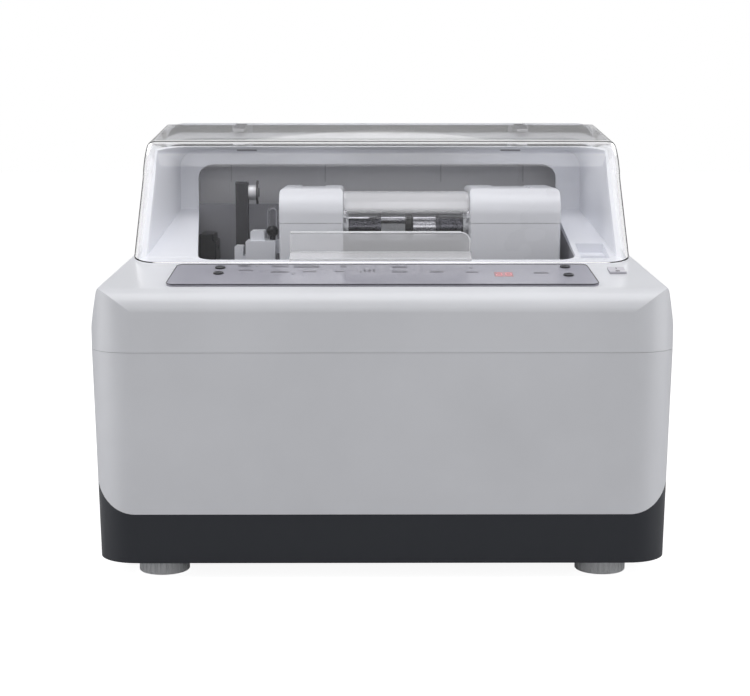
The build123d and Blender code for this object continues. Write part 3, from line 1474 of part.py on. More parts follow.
def make_lens_hood():
    """Clear curved hood on two end rings that turn on the lens bosses."""
    left, right = left_arm_right_x + hood_side_gap, right_arm_left_x - hood_side_gap
    front, back = radians(180 - hood_front_deg), radians(180 - hood_back_deg)
    far = hood_radius * 4
    middle = (front + back) / 2
    wedge = side_prism((
        (lens_y, lens_z),
        (lens_y + far * cos(front), lens_z + far * sin(front)),
        (lens_y + far * cos(middle), lens_z + far * sin(middle)),
        (lens_y + far * cos(back), lens_z + far * sin(back)),
    ), left - over, right + over)
    shell = rod_x(hood_radius, left, right, lens_y, lens_z)
    shell -= rod_x(hood_radius - hood_wall, left + hood_side, right - hood_side, lens_y, lens_z)
    hood = shell & wedge
    bore = boss_radius + running_gap
    for x in (left, right - hood_side):
        hood += rod_x(bore + hood_ring_reach, x, x + hood_side, lens_y, lens_z)
    return one(hood - rod_x(bore, left - over, right + over, lens_y, lens_z))


def make_splash_guard():
    """Clear guard with a foot, a folded top and a folded right side."""
    left, right = guard_left_x, guard_right_x
    back = guard_front_y + guard_flange
    low = deck_z(guard_front_y - guard_foot)

    def is_upper_right(edge):
        return edge.center().X > 0 and edge.center().Z > low + over

    guard = block(left, right, guard_front_y, back, low, guard_top_z)
    corner = guard.edges().filter_by(Axis.Y).filter_by(is_upper_right)
    guard = fillet(corner, guard_corner_radius)
    inner = block(left - over, right - guard_wall, guard_front_y + guard_wall, back + over, low - over,
                  guard_top_z - guard_wall)
    corner = inner.edges().filter_by(Axis.Y).filter_by(is_upper_right)
    guard -= fillet(corner, guard_corner_radius - guard_wall)
    foot = block(left, right, guard_front_y - guard_foot_reach, guard_front_y + guard_wall, 0, height)
    return one((guard & above_deck(0, height)) + (foot & above_deck(0, guard_wall)))


# Left of the carriage.


def make_groove_arm():
    """Dark upright with a pivot pin at its foot and a stub axle near its top."""
    left, right = groove_arm_left_x, groove_arm_right_x
    arm = block(left, right, groove_y - groove_arm_half, groove_y + groove_arm_half, groove_pivot_z,
                groove_arm_top_z)
    arm = chamfer(arm.edges().filter_by(Axis.X).sort_by(Axis.Z)[-2:], groove_cap)
    arm += rod_x(groove_arm_half, left, right, groove_y, groove_pivot_z)
    ends = groove_ears()
    arm += rod_x(groove_pivot_radius, ends[0][0], ends[1][1], groove_y, groove_pivot_z)
    tip = groove_hub_left() + groove_hub_length + groove_wheel_width + running_gap
    arm += rod_x(groove_bearing_radius, right, tip, groove_y, groove_axis_z)
    return one(arm + rod_x(groove_cap_radius, tip, tip + groove_cap, groove_y, groove_axis_z))


def groove_hub_left():
    """Where the grooving wheel's hub begins."""
    return groove_arm_right_x + groove_ear_gap


def make_groove_wheel():
    """Thin grooving disc on its silver hub."""
    left = groove_hub_left()
    edge = left + groove_hub_length
    wheel = rod_x(groove_hub_radius, left, edge, groove_y, groove_axis_z)
    wheel += rod_x(groove_wheel_radius, edge, edge + groove_wheel_width, groove_y, groove_axis_z)
    return one(wheel - rod_x(groove_bearing_radius + running_gap, left - over, edge + over,
                             groove_y, groove_axis_z))


def make_coolant_nozzle():
    """Stepped white bracket bolted to the left arm, with a stem for the ball nozzle."""
    y0, y1 = nozzle_front_y, nozzle_back_y
    bracket = block(nozzle_left_x, nozzle_right_x, y0, y1, nozzle_bridge_z, nozzle_top_z)
    bracket += block(nozzle_tower_left_x, nozzle_tower_right_x, y0 + over, y1, nozzle_top_z,
                     nozzle_tower_top_z)
    bracket += block(nozzle_side_left_x, nozzle_left_x, y0 + over, y1 - over, nozzle_bridge_z,
                     nozzle_bridge_z + over)
    bracket += block(nozzle_side_left_x, nozzle_side_right_x, y0 + over, y1 - over, nozzle_bridge_z,
                     nozzle_side_top_z)
    bracket += block(nozzle_right_x, left_arm_left_x, (y0 + y1) / 2, y1, arm_belly_z, nozzle_top_z)
    edges = bracket.edges().filter_by(Axis.Y).filter_by(lambda e: e.center().Z > nozzle_side_top_z - fit_gap
                                                        and e.center().X < nozzle_tower_right_x + fit_gap)
    bracket = chamfer(edges, nozzle_chamfer)
    for x in (ball_x - tube_half, ball_x + tube_half):
        bracket -= rod_z(tube_radius + running_gap, nozzle_bridge_z + over, nozzle_top_z + over, x, tube_y)
    return one(bracket)


def make_nozzle_ball():
    """Dark ball nozzle on a short stem."""
    ball = Pos(ball_x, ball_y, ball_z) * Sphere(ball_radius)
    ball += rod_z(ball_stem_radius, nozzle_top_z, ball_z, ball_x, ball_y)
    behind = (Align.CENTER, Align.CENTER, Align.MAX)
    bore = Rot(-90, 0, 0) * Cylinder(tube_radius, ball_radius, align=behind)
    return one(ball - Pos(ball_x, ball_y - ball_radius / 2, ball_z) * bore)


def make_coolant_tube():
    """Clear hose that loops up behind the ball."""
    left, right = ball_x - tube_half, ball_x + tube_half
    low, high = nozzle_bridge_z + over * 2, tube_top_z - tube_half
    path = Line((left, tube_y, low), (left, tube_y, high))
    path += ThreePointArc((left, tube_y, high), (ball_x, tube_y, tube_top_z), (right, tube_y, high))
    path += Line((right, tube_y, high), (right, tube_y, low))
    return one(sweep(Pos(left, tube_y, low) * Circle(tube_radius), path=path))


def make_lens_probe():
    """Dark block of the lens probe with a stepped shoulder."""
    x0, x1, y0, y1 = probe_left_x, probe_right_x, probe_front_y, probe_back_y
    probe = block(x0, x1, y0, y1, tub_floor_z, probe_top_z)
    probe -= block(x1 - probe_step, x1 + over, y0 - over, y1 + over, probe_step_z, probe_top_z + over)
    probe = chamfer(probe.edges().filter_by(Axis.Z), probe_step / 3)
    return one(probe - rod_x(probe_pivot_radius + running_gap, x1 - probe_pin_length - fit_gap, x1 + over,
                             probe_pivot_y, probe_pivot_z))


def build_parts():
    """Every piece of the machine by the name of its file."""
    left_arm = (left_arm_left_x, left_arm_right_x, left_arm_right_x, left_plate_x)
    right_arm = (right_arm_left_x, right_arm_right_x, right_arm_left_x, right_plate_x)
    parts = {
        "base_tray": make_base_tray(),
        "body_shell": make_body_shell(),
        "top_shell": make_top_shell(),
        "rear_cover": make_rear_cover(),
        "lid": make_lid(),
        "lid_hinge_left": make_lid_hinge(-lid_bracket_x),
        "lid_hinge_right": make_lid_hinge(lid_bracket_x),
        "chamber_surround": make_chamber_surround(),
        "chamber_tub": make_chamber_tub(),
        "chamber_back": make_chamber_back(),
        "control_panel": make_control_panel(),
        "display": make_display(),
        "power_switch": make_power_switch(),
        "rear_panel": make_rear_panel(),
        "power_inlet": make_power_inlet(),
        "drain_hose": make_drain_hose(),
        "water_inlet": make_water_inlet(),
        "chassis": make_chassis(),
        "spindle_motor": make_spindle_motor(),
        "motor_pulley": make_motor_pulley(),
        "drive_belt": make_drive_belt(),
        "spindle_housing": make_spindle_housing(),
        "spindle": make_spindle(),
        "rough_wheel": make_rough_wheel(),
        "finishing_wheel": make_finishing_wheel(),
        "wheel_nut": make_wheel_nut(),
        "pedestal_left": make_pedestal(-1),
        "pedestal_right": make_pedestal(1),
        "pivot_shaft": make_pivot_shaft(),
        "lead_screw": make_lead_screw(),
        "traverse_motor": make_traverse_motor(),
        "saddle": make_saddle(),
        "carriage_frame": make_carriage_frame(),
        "left_arm_cover": make_arm_cover(*left_arm),
        "left_arm_skirt": make_arm_skirt(*left_arm),
        "right_arm_cover": make_arm_cover(*right_arm),
        "right_arm_skirt": make_arm_skirt(*right_arm),
        "left_lens_shaft": make_left_lens_shaft(),
        "lens_chuck": make_lens_chuck(),
        "clamp_sleeve": make_clamp_sleeve(),
        "clamp_shaft": make_clamp_shaft(),
        "clamp_pad": make_clamp_pad(),
        "sync_shaft": make_sync_shaft(),
        "lens_motor": make_lens_motor(),
        "lens_hood": make_lens_hood(),
        "splash_guard": make_splash_guard(),
        "groove_arm": make_groove_arm(),
        "groove_wheel": make_groove_wheel(),
        "coolant_nozzle": make_coolant_nozzle(),
        "nozzle_ball": make_nozzle_ball(),
        "coolant_tube": make_coolant_tube(),
        "lens_probe": make_lens_probe(),
    }
    for name, (x, y) in key_places.items():
        parts[name] = make_key(x, y)
    feet = {"front": foot_front_y, "back": foot_back_y}
    for end, y in feet.items():
        parts[f"foot_{end}_left"] = make_foot(-foot_x, y)
        parts[f"foot_{end}_right"] = make_foot(foot_x, y)
    return parts


if __name__ == "__main__":
    os.makedirs("parts", exist_ok=True)
    for name, shape in build_parts().items():
        shape.label = name
        export_step(shape, f"parts/{name}.step")
        print(name, round(shape.volume))
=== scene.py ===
"""Dressed scene of a bench-top lens edger, built round the solids of its CAD frame."""

import json
import math

import bmesh
import bpy
from mathutils import Matrix, Vector
from mathutils.bvhtree import BVHTree

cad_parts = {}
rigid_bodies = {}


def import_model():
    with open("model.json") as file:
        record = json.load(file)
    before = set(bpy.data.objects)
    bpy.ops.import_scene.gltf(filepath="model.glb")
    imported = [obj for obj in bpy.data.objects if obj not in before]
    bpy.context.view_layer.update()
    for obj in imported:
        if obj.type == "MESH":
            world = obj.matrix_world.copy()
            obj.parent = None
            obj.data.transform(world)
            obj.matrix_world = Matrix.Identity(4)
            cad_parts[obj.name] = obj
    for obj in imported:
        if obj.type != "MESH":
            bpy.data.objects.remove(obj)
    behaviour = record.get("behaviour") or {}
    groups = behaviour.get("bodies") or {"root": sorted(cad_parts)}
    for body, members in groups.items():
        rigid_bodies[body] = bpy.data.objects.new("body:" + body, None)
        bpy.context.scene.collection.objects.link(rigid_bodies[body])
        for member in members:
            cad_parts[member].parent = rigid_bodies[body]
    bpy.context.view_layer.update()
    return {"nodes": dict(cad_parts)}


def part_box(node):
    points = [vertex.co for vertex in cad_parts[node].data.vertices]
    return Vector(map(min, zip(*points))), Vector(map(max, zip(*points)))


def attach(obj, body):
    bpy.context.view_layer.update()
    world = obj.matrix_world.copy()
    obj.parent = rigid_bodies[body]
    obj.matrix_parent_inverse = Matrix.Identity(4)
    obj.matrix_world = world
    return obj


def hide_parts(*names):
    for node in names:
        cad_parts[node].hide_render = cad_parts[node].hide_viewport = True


bl_info = {
    "name": "Bench Lens Edger",
    "version": (1, 0, 0),
    "blender": (4, 5, 0),
    "location": "View3D > Sidebar > Lens Edger",
    "description": "Finishes, small fittings and stage for a bench-top lens edger",
    "category": "Object",
}

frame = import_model()
cad = frame["nodes"]
MM = 0.001
DECK_TILT = math.radians(10.2)


def deck_up():
    """The way the sloping deck and its panel face."""
    return Vector((0.0, -math.sin(DECK_TILT), math.cos(DECK_TILT)))


def colour(name, description, default):
    """A colour that the user can change."""
    return bpy.props.FloatVectorProperty(
        name=name, description=description, default=default, subtype="COLOR", size=3, min=0.0, max=1.0
    )


def length(name, description, default):
    """A length in metres that the user can change."""
    return bpy.props.FloatProperty(
        name=name, description=description, default=default, subtype="DISTANCE", unit="LENGTH", min=0.0
    )


def count(name, description, default):
    """A number of like things that the user can change."""
    return bpy.props.IntProperty(name=name, description=description, default=default, min=1)


class EdgerColours(bpy.types.PropertyGroup):
    """Colours of the machine's finishes."""

    shell: colour("Cabinet", "Moulded white cabinet and arm covers", (0.79, 0.80, 0.84))
    base: colour("Base tray", "Dark blue-grey tray under the cabinet", (0.016, 0.019, 0.027))
    clear: colour("Clear plastic", "Lid and splash guard", (0.97, 0.97, 0.985))
    hood: colour("Lens hood", "Clear hood over the lens, a little smoky", (0.86, 0.86, 0.88))
    hollow: colour("Chamber wall", "Grey wall behind the chamber", (0.93, 0.93, 0.96))
    tub: colour("Grinding tub", "Grey plastic of the tub", (0.27, 0.27, 0.295))
    panel: colour("Control panel", "Grey film over the control panel", (0.35, 0.345, 0.40))
    print: colour("Panel print", "Marks printed on the control panel", (0.155, 0.15, 0.18))
    key: colour("Keys", "Round keys in the control panel", (0.020, 0.020, 0.025))
    window: colour("Display window", "Pale red window over the figures", (0.40, 0.22, 0.24))
    figure: colour("Display figures", "Lit bars of the figures", (0.72, 0.27, 0.28))
    rocker: colour("Rocker", "Light grey rocker of the power switch", (0.62, 0.61, 0.66))
    fitting: colour("Black fittings", "Black plastic fittings", (0.012, 0.012, 0.014))
    floor: colour("Floor", "Floor and backdrop", (0.80, 0.80, 0.81))


class EdgerSizes(bpy.types.PropertyGroup):
    """Sizes of the fittings that have no solid of their own in the frame."""

    screw_radius: length("Screw head", "Radius of a cap screw's head", 0.0034)
    screw_height: length("Screw height", "Height of a cap screw's head", 0.0016)
    print_height: length("Print height", "Thickness of a printed mark or shaded line", 0.00012)
    bar_width: length("Figure bar", "Width of one lit bar of the display", 0.0011)
    # The film's dark edge bead is painted shade along the panel's edge.
    edge_shade_radius: length("Film edge shade", "Radius of the dark bead of painted shade round the control panel", 0.00045)
    # The guard's white edge bead is a painted highlight for the bright edges of the clear guard.
    edge_highlight_radius: length("Guard edge highlight", "Radius of the painted bright edge of the splash guard", 0.0007)
    lid_bend: length("Lid bend", "Radius of the bend between the lid's front and its top", 0.045)
    clip_turns: count("Hose clip turns", "Turns of wire in the drain hose's clip", 3)


def colours():
    """The colours as the user has set them."""
    return bpy.context.scene.edger_colours


def sizes():
    """The sizes as the user has set them."""
    return bpy.context.scene.edger_sizes


# Finishes. A number that is the same all over a surface sits on the shader's own socket.

BROAD_WAVES = 9.0
# Painted shade: the arm covers are the cabinet's white made a little darker for the light they get.
ARM_SHADE_SHARE = 0.98
# Painted light: the chamber surround is the cabinet's white made lighter, standing in for light its walls
# lack.
SURROUND_LIGHT_SHARE = 1.14
# Painted shade: the wall's seams are its own grey made darker.
SEAM_SHADE_SHARE = 0.80
NOISE_LOW = 0.35
NOISE_HIGH = 0.65
# Painted reflection on the hood's top: it hazes white between these heights, in millimetres, up to this
# share.
TOP_REFLECTION_LOW = 341.0
TOP_REFLECTION_HIGH = 347.0
TOP_REFLECTION_SHARE = 0.42
CLEAR_SHARE = 0.98
BAND_FADE = 0.4


def shader_of(material):
    """The material's one Principled shader."""
    return material.node_tree.nodes["Principled BSDF"]


def new_finish(name, tint, roughness, metallic=0.0, more=None):
    """A finish with its colour, roughness and metal set."""
    material = bpy.data.materials.new(name)
    material.use_nodes = True
    shader = shader_of(material)
    shader.inputs["Base Color"].default_value = (*tint, 1.0)
    shader.inputs["Roughness"].default_value = roughness
    shader.inputs["Metallic"].default_value = metallic
    for socket, value in (more or {}).items():
        shader.inputs[socket].default_value = value
    return material


def add_noise(material, scale, detail=3.0, stretch=(1.0, 1.0, 1.0)):
    """Noise fixed to the piece, with its scale in waves to the metre."""
    tree = material.node_tree
    place = tree.nodes.new("ShaderNodeTexCoord")
    mapping = tree.nodes.new("ShaderNodeMapping")
    mapping.inputs["Scale"].default_value = stretch
    noise = tree.nodes.new("ShaderNodeTexNoise")
    noise.inputs["Scale"].default_value = scale
    noise.inputs["Detail"].default_value = detail
    tree.links.new(place.outputs["Object"], mapping.inputs["Vector"])
    tree.links.new(mapping.outputs["Vector"], noise.inputs["Vector"])
    return noise.outputs["Fac"]


def shader_sum(tree, operation, first, second):
    """A sum of two values in a shader tree, each a socket or a number."""
    node = tree.nodes.new("ShaderNodeMath")
    node.operation = operation
    for socket, value in zip(node.inputs, (first, second)):
        if isinstance(value, float):
            socket.default_value = value
        else:
            tree.links.new(value, socket)
    return node.outputs["Value"]


def vary_roughness(material, source, low, high):
    """Roughness that wanders between two values."""
    tree = material.node_tree
    spread = tree.nodes.new("ShaderNodeMapRange")
    spread.inputs["From Min"].default_value = NOISE_LOW
    spread.inputs["From Max"].default_value = NOISE_HIGH
    spread.inputs["To Min"].default_value = low
    spread.inputs["To Max"].default_value = high
    tree.links.new(source, spread.inputs["Value"])
    tree.links.new(spread.outputs["Result"], shader_of(material).inputs["Roughness"])


def vary_colour(material, source, first, second):
    """Colour that wanders between two tints."""
    tree = material.node_tree
    ramp = tree.nodes.new("ShaderNodeValToRGB")
    ramp.color_ramp.elements[0].position = NOISE_LOW
    ramp.color_ramp.elements[0].color = (*first, 1.0)
    ramp.color_ramp.elements[1].position = NOISE_HIGH
    ramp.color_ramp.elements[1].color = (*second, 1.0)
    tree.links.new(source, ramp.inputs["Fac"])
    tree.links.new(ramp.outputs["Color"], shader_of(material).inputs["Base Color"])


def raise_grain(material, source, height, strength):
    """Fine relief of that height in metres."""
    tree = material.node_tree
    bump = tree.nodes.new("ShaderNodeBump")
    bump.inputs["Distance"].default_value = height
    bump.inputs["Strength"].default_value = strength
    tree.links.new(source, bump.inputs["Height"])
    tree.links.new(bump.outputs["Normal"], shader_of(material).inputs["Normal"])


def scaled(tint, factor):
    """The tint, lighter or darker."""
    return tuple(min(1.0, part * factor) for part in tint)


def moulded_finish(name, tint, roughness, grain, grain_height, more=None):
    """Moulded plastic: a fine grain, and a gloss and tint that wander a little."""
    material = new_finish(name, tint, roughness, more=more)
    broad = add_noise(material, BROAD_WAVES)
    vary_colour(material, broad, scaled(tint, 0.975), scaled(tint, 1.02))
    vary_roughness(material, broad, roughness - 0.04, roughness + 0.05)
    raise_grain(material, add_noise(material, grain, detail=2.0), grain_height, strength=0.5)
    return material


def machined_finish(name, tint, roughness, stretch):
    """Turned or ground metal with fine lines across its run."""
    material = new_finish(name, tint, roughness, 1.0)
    lines = add_noise(material, scale=500.0, detail=4.0, stretch=stretch)
    vary_roughness(material, lines, roughness - 0.07, roughness + 0.10)
    raise_grain(material, lines, height=0.00002, strength=0.35)
    return material


def cast_finish(name, tint, roughness, metallic, grain):
    """Cast or painted metal with a pebbled skin."""
    material = new_finish(name, tint, roughness, metallic)
    skin = add_noise(material, grain, detail=5.0)
    vary_colour(material, skin, scaled(tint, 0.9), scaled(tint, 1.08))
    vary_roughness(material, skin, roughness - 0.06, roughness + 0.08)
    raise_grain(material, skin, height=0.00012, strength=0.45)
    return material


def clear_finish(name, tint, roughness, bend, haze):
    """Clear plastic that lets the lamps through to what it covers, with a little white haze."""
    more = {"Transmission Weight": 1.0 - haze, "IOR": bend}
    material = new_finish(name, tint, roughness, more=more)
    vary_roughness(material, add_noise(material, scale=40.0), roughness, roughness + 0.02)
    tree = material.node_tree
    path = tree.nodes.new("ShaderNodeLightPath")
    soft = shader_sum(tree, "MAXIMUM", path.outputs["Is Shadow Ray"], path.outputs["Is Diffuse Ray"])
    through = tree.nodes.new("ShaderNodeBsdfTransparent")
    mix = tree.nodes.new("ShaderNodeMixShader")
    tree.links.new(soft, mix.inputs["Fac"])
    tree.links.new(shader_of(material).outputs["BSDF"], mix.inputs[1])
    tree.links.new(through.outputs["BSDF"], mix.inputs[2])
    tree.links.new(mix.outputs["Shader"], tree.nodes["Material Output"].inputs["Surface"])
    return material


def painted_top_reflection(material):
    """Painted reflection: white haze on the top of a clear piece, fading in between two heights in
    millimetres.
    """
    tree = material.node_tree
    place = tree.nodes.new("ShaderNodeTexCoord")
    split = tree.nodes.new("ShaderNodeSeparateXYZ")
    fade = tree.nodes.new("ShaderNodeMapRange")
    fade.inputs["From Min"].default_value = TOP_REFLECTION_LOW * MM
    fade.inputs["From Max"].default_value = TOP_REFLECTION_HIGH * MM
    fade.inputs["To Min"].default_value = CLEAR_SHARE
    fade.inputs["To Max"].default_value = 1.0 - TOP_REFLECTION_SHARE
    tree.links.new(place.outputs["Object"], split.inputs["Vector"])
    tree.links.new(split.outputs["Z"], fade.inputs["Value"])
    tree.links.new(fade.outputs["Result"], shader_of(material).inputs["Transmission Weight"])


def banded_finish(name, node, share, body, rim_tint, metallic):
    """A round piece about the X axis whose rim, outside that share of its radius, has its own tint."""
    material = new_finish(name, body, 0.42, metallic)
    low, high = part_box(node)
    middle = (low + high) / 2
    edge = (high.z - low.z) / 2 * share
    tree = material.node_tree
    place = tree.nodes.new("ShaderNodeTexCoord")
    centre = tree.nodes.new("ShaderNodeMapping")
    centre.inputs["Location"].default_value = (0.0, -middle.y, -middle.z)
    flat = tree.nodes.new("ShaderNodeVectorMath")
    flat.operation = "MULTIPLY"
    flat.inputs[1].default_value = (0.0, 1.0, 1.0)
    away = tree.nodes.new("ShaderNodeVectorMath")
    away.operation = "LENGTH"
    rim = tree.nodes.new("ShaderNodeMapRange")
    rim.inputs["From Min"].default_value = edge
    rim.inputs["From Max"].default_value = edge + BAND_FADE * MM
    band = tree.nodes.new("ShaderNodeMix")
    band.data_type = "RGBA"
    band.inputs["A"].default_value = (*body, 1.0)
    band.inputs["B"].default_value = (*rim_tint, 1.0)
    tree.links.new(place.outputs["Object"], centre.inputs["Vector"])
    tree.links.new(centre.outputs["Vector"], flat.inputs[0])
    tree.links.new(flat.outputs["Vector"], away.inputs[0])
    tree.links.new(away.outputs["Value"], rim.inputs["Value"])
    tree.links.new(rim.outputs["Result"], band.inputs["Factor"])
    tree.links.new(band.outputs["Result"], shader_of(material).inputs["Base Color"])
    grit = add_noise(material, scale=2600.0, detail=2.0)
    vary_roughness(material, grit, low=0.35, high=0.62)
    raise_grain(material, grit, height=0.00012, strength=0.6)
    return material


def lit_finish(name, tint, glow, strength):
    """Plastic that gives light of its own."""
    more = {"Emission Color": (*glow, 1.0), "Emission Strength": strength}
    material = new_finish(name, tint, 0.22, more=more)
    vary_roughness(material, add_noise(material, scale=60.0), low=0.18, high=0.28)
    return material


def coat(weight, roughness):
    """Settings of a clear coat."""
    return {"Coat Weight": weight, "Coat Roughness": roughness}


def make_finishes():
    """Every finish of the machine by its plain name. A row is a kind, a name and what the kind asks for."""
    c = colours()
    rows = (
        (moulded_finish, "white shell", c.shell, 0.34, 1100.0, 0.00004, coat(0.12, 0.25)),
        (moulded_finish, "arm white", scaled(c.shell, ARM_SHADE_SHARE), 0.30, 1500.0, 0.00002, coat(0.15, 0.2)),
        (moulded_finish, "dark base", c.base, 0.42, 1500.0, 0.00006, coat(0.25, 0.2)),
        # Painted light: a lighter copy of the cabinet's white for the chamber surround.
        (moulded_finish, "surround white", scaled(c.shell, SURROUND_LIGHT_SHARE), 0.38, 1100.0, 0.00004),
        (clear_finish, "clear plastic", c.clear, 0.012, 1.33, 0.0),
        (clear_finish, "hood plastic", c.hood, 0.03, 1.42, 0.0),
        (clear_finish, "guard plastic", c.clear, 0.02, 1.30, 0.34),
        (moulded_finish, "tub grey", c.tub, 0.45, 1300.0, 0.00005),
        (moulded_finish, "hollow grey", c.hollow, 0.48, 1300.0, 0.00005),
        (moulded_finish, "rocker grey", c.rocker, 0.32, 1500.0, 0.00002),
        # Painted shade in the hinge slots and in the back wall's seams.
        (moulded_finish, "slot shade", c.tub, 0.5, 1300.0, 0.00003),
        (moulded_finish, "seam shade", scaled(c.hollow, SEAM_SHADE_SHARE), 0.5, 1300.0, 0.00003),
        (moulded_finish, "panel film", c.panel, 0.16, 2400.0, 0.00001, coat(0.3, 0.12)),
        (moulded_finish, "panel print", c.print, 0.35, 2400.0, 0.00001),
        (moulded_finish, "key rubber", c.key, 0.38, 1500.0, 0.00003),
        (lit_finish, "display window", c.window, (1.0, 0.30, 0.30), 0.04),
        (lit_finish, "display figure", c.figure, c.figure, 0.30),
        (moulded_finish, "black fitting", c.fitting, 0.36, 1600.0, 0.00003, {"Specular IOR Level": 0.25}),
        (cast_finish, "rear grey", (0.40, 0.41, 0.42), 0.48, 0.0, 900.0),
        (machined_finish, "bare steel", (0.46, 0.46, 0.48), 0.27, (6.0, 1.0, 1.0)),
        (machined_finish, "chrome steel", (0.62, 0.62, 0.64), 0.14, (5.0, 1.0, 1.0)),
        (machined_finish, "dark steel", (0.085, 0.085, 0.095), 0.26, (5.0, 1.0, 1.0)),
        (cast_finish, "cast aluminium", (0.50, 0.51, 0.52), 0.50, 0.9, 700.0),
        (cast_finish, "black metal", (0.016, 0.016, 0.020), 0.45, 0.1, 1200.0),
        (cast_finish, "motor paint", (0.045, 0.060, 0.075), 0.42, 0.1, 800.0),
        (cast_finish, "plated steel", (0.50, 0.50, 0.47), 0.38, 0.95, 500.0),
        (moulded_finish, "rubber black", (0.022, 0.022, 0.022), 0.62, 1200.0, 0.00008),
        (moulded_finish, "rubber grey", (0.17, 0.17, 0.175), 0.58, 1000.0, 0.00008),
        (banded_finish, "wheel grit", "rough_wheel", 0.89, (0.42, 0.42, 0.44), (0.19, 0.15, 0.10), 0.85),
        (banded_finish, "groove grit", "groove_wheel", 0.72, (0.62, 0.62, 0.63), (0.06, 0.058, 0.06), 0.5),
        (machined_finish, "brass", (0.66, 0.47, 0.22), 0.28, (6.0, 1.0, 1.0)),
        (moulded_finish, "foot white", (0.86, 0.87, 0.89), 0.42, 1300.0, 0.00004),
    )
    made = {name: kind(name, *values) for kind, name, *values in rows}
    # The hood's top is hazed white as a painted reflection of the lamps above it.
    painted_top_reflection(made["hood plastic"])
    return made


finish_cache = {}


def finish(name):
    """The finish of that name, made on first use."""
    if not finish_cache:
        finish_cache.update(make_finishes())
    return finish_cache[name]


def dress(name, *nodes):
    """Gives these CAD nodes a finish."""
    for node in nodes:
        mesh = cad[node].data
        mesh.materials.clear()
        mesh.materials.append(finish(name))


# Small meshes and Geometry Nodes trees.


def new_object(name, mesh):
    """An object in the scene for the mesh."""
    thing = bpy.data.objects.new(name, mesh)
    bpy.context.scene.collection.objects.link(thing)
    return thing


def from_bmesh(name, shape, material, smooth=False):
    """An object for the bmesh, with its finish."""
    mesh = bpy.data.meshes.new(name)
    shape.to_mesh(mesh)
    shape.free()
    mesh.materials.append(finish(material))
    if smooth:
        mesh.shade_smooth()
    return new_object(name, mesh)


def points_object(name, places, attributes):
    """An object of loose points that carry vectors by name."""
    mesh = bpy.data.meshes.new(name)
    mesh.from_pydata([tuple(place) for place in places], [], [])
    for label, values in attributes.items():
        layer = mesh.attributes.new(label, "FLOAT_VECTOR", "POINT")
        for item, value in zip(layer.data, values):
            item.vector = value
    return new_object(name, mesh)


def plain_mesh(thing):
    """The mesh that comes out of an object, which is then removed."""
    graph = bpy.context.evaluated_depsgraph_get()
    mesh = bpy.data.meshes.new_from_object(thing.evaluated_get(graph), depsgraph=graph)
    bpy.data.objects.remove(thing)
    return mesh


class Tree:
    """A Geometry Nodes tree in the making."""

    def __init__(self, name, inputs):
        self.group = bpy.data.node_groups.new(name, "GeometryNodeTree")
        self.ids = {}
        face = self.group.interface
        face.new_socket("Geometry", in_out="INPUT", socket_type="NodeSocketGeometry")
        for label, value in inputs.items():
            whole = isinstance(value, int)
            kind = "NodeSocketInt" if whole else "NodeSocketFloat"
            socket = face.new_socket(label, in_out="INPUT", socket_type=kind)
            socket.default_value = value
            self.ids[label] = socket.identifier
        face.new_socket("Geometry", in_out="OUTPUT", socket_type="NodeSocketGeometry")
        self.start = self.group.nodes.new("NodeGroupInput")
        self.end = self.group.nodes.new("NodeGroupOutput")

    def add(self, kind, **settings):
        """A node of that kind with its settings."""
        node = self.group.nodes.new(kind)
        for label, value in settings.items():
            setattr(node, label, value)
        return node

    def link(self, source, target):
        """A link between two sockets."""
        self.group.links.new(source, target)

    def sum(self, operation, first, second):
        """A sum of a socket with a number or another socket."""
        node = self.add("ShaderNodeMath", operation=operation)
        self.link(first, node.inputs[0])
        if isinstance(second, (int, float)):
            node.inputs[1].default_value = second
        else:
            self.link(second, node.inputs[1])
        return node.outputs["Value"]

    def finish_with(self, instances, material):
        """Ends the tree in real geometry with its finish."""
        real = self.add("GeometryNodeRealizeInstances")
        coat = self.add("GeometryNodeSetMaterial")
        coat.inputs["Material"].default_value = finish(material)
        self.link(instances, real.inputs["Geometry"])
        self.link(real.outputs["Geometry"], coat.inputs["Geometry"])
        self.link(coat.outputs["Geometry"], self.end.inputs["Geometry"])

    def on_points(self, thing, scale_by_size=False):
        """Sets the thing on every point, turned to face the point's own direction."""
        facing = self.add("GeometryNodeInputNamedAttribute", data_type="FLOAT_VECTOR")
        facing.inputs["Name"].default_value = "facing"
        turn = self.add("FunctionNodeAlignRotationToVector", axis="Z")
        self.link(facing.outputs["Attribute"], turn.inputs["Vector"])
        places = self.add("GeometryNodeInstanceOnPoints")
        self.link(self.start.outputs["Geometry"], places.inputs["Points"])
        self.link(thing, places.inputs["Instance"])
        self.link(turn.outputs["Rotation"], places.inputs["Rotation"])
        if scale_by_size:
            size = self.add("GeometryNodeInputNamedAttribute", data_type="FLOAT_VECTOR")
            size.inputs["Name"].default_value = "size"
            self.link(size.outputs["Attribute"], places.inputs["Scale"])
        return places.outputs["Instances"]


# A cap screw's head in shares of its height, and the steps (rise, shrink) of its dome and recess.

HEAD_SHARE = 0.6
HEAD_LIFT = 0.3
HEAD_STEPS = ((0.4, 0.86), (0.0, 0.52), (-0.7, 0.97))
ROUND_SIDES = 24
SAME_WAY = 0.999


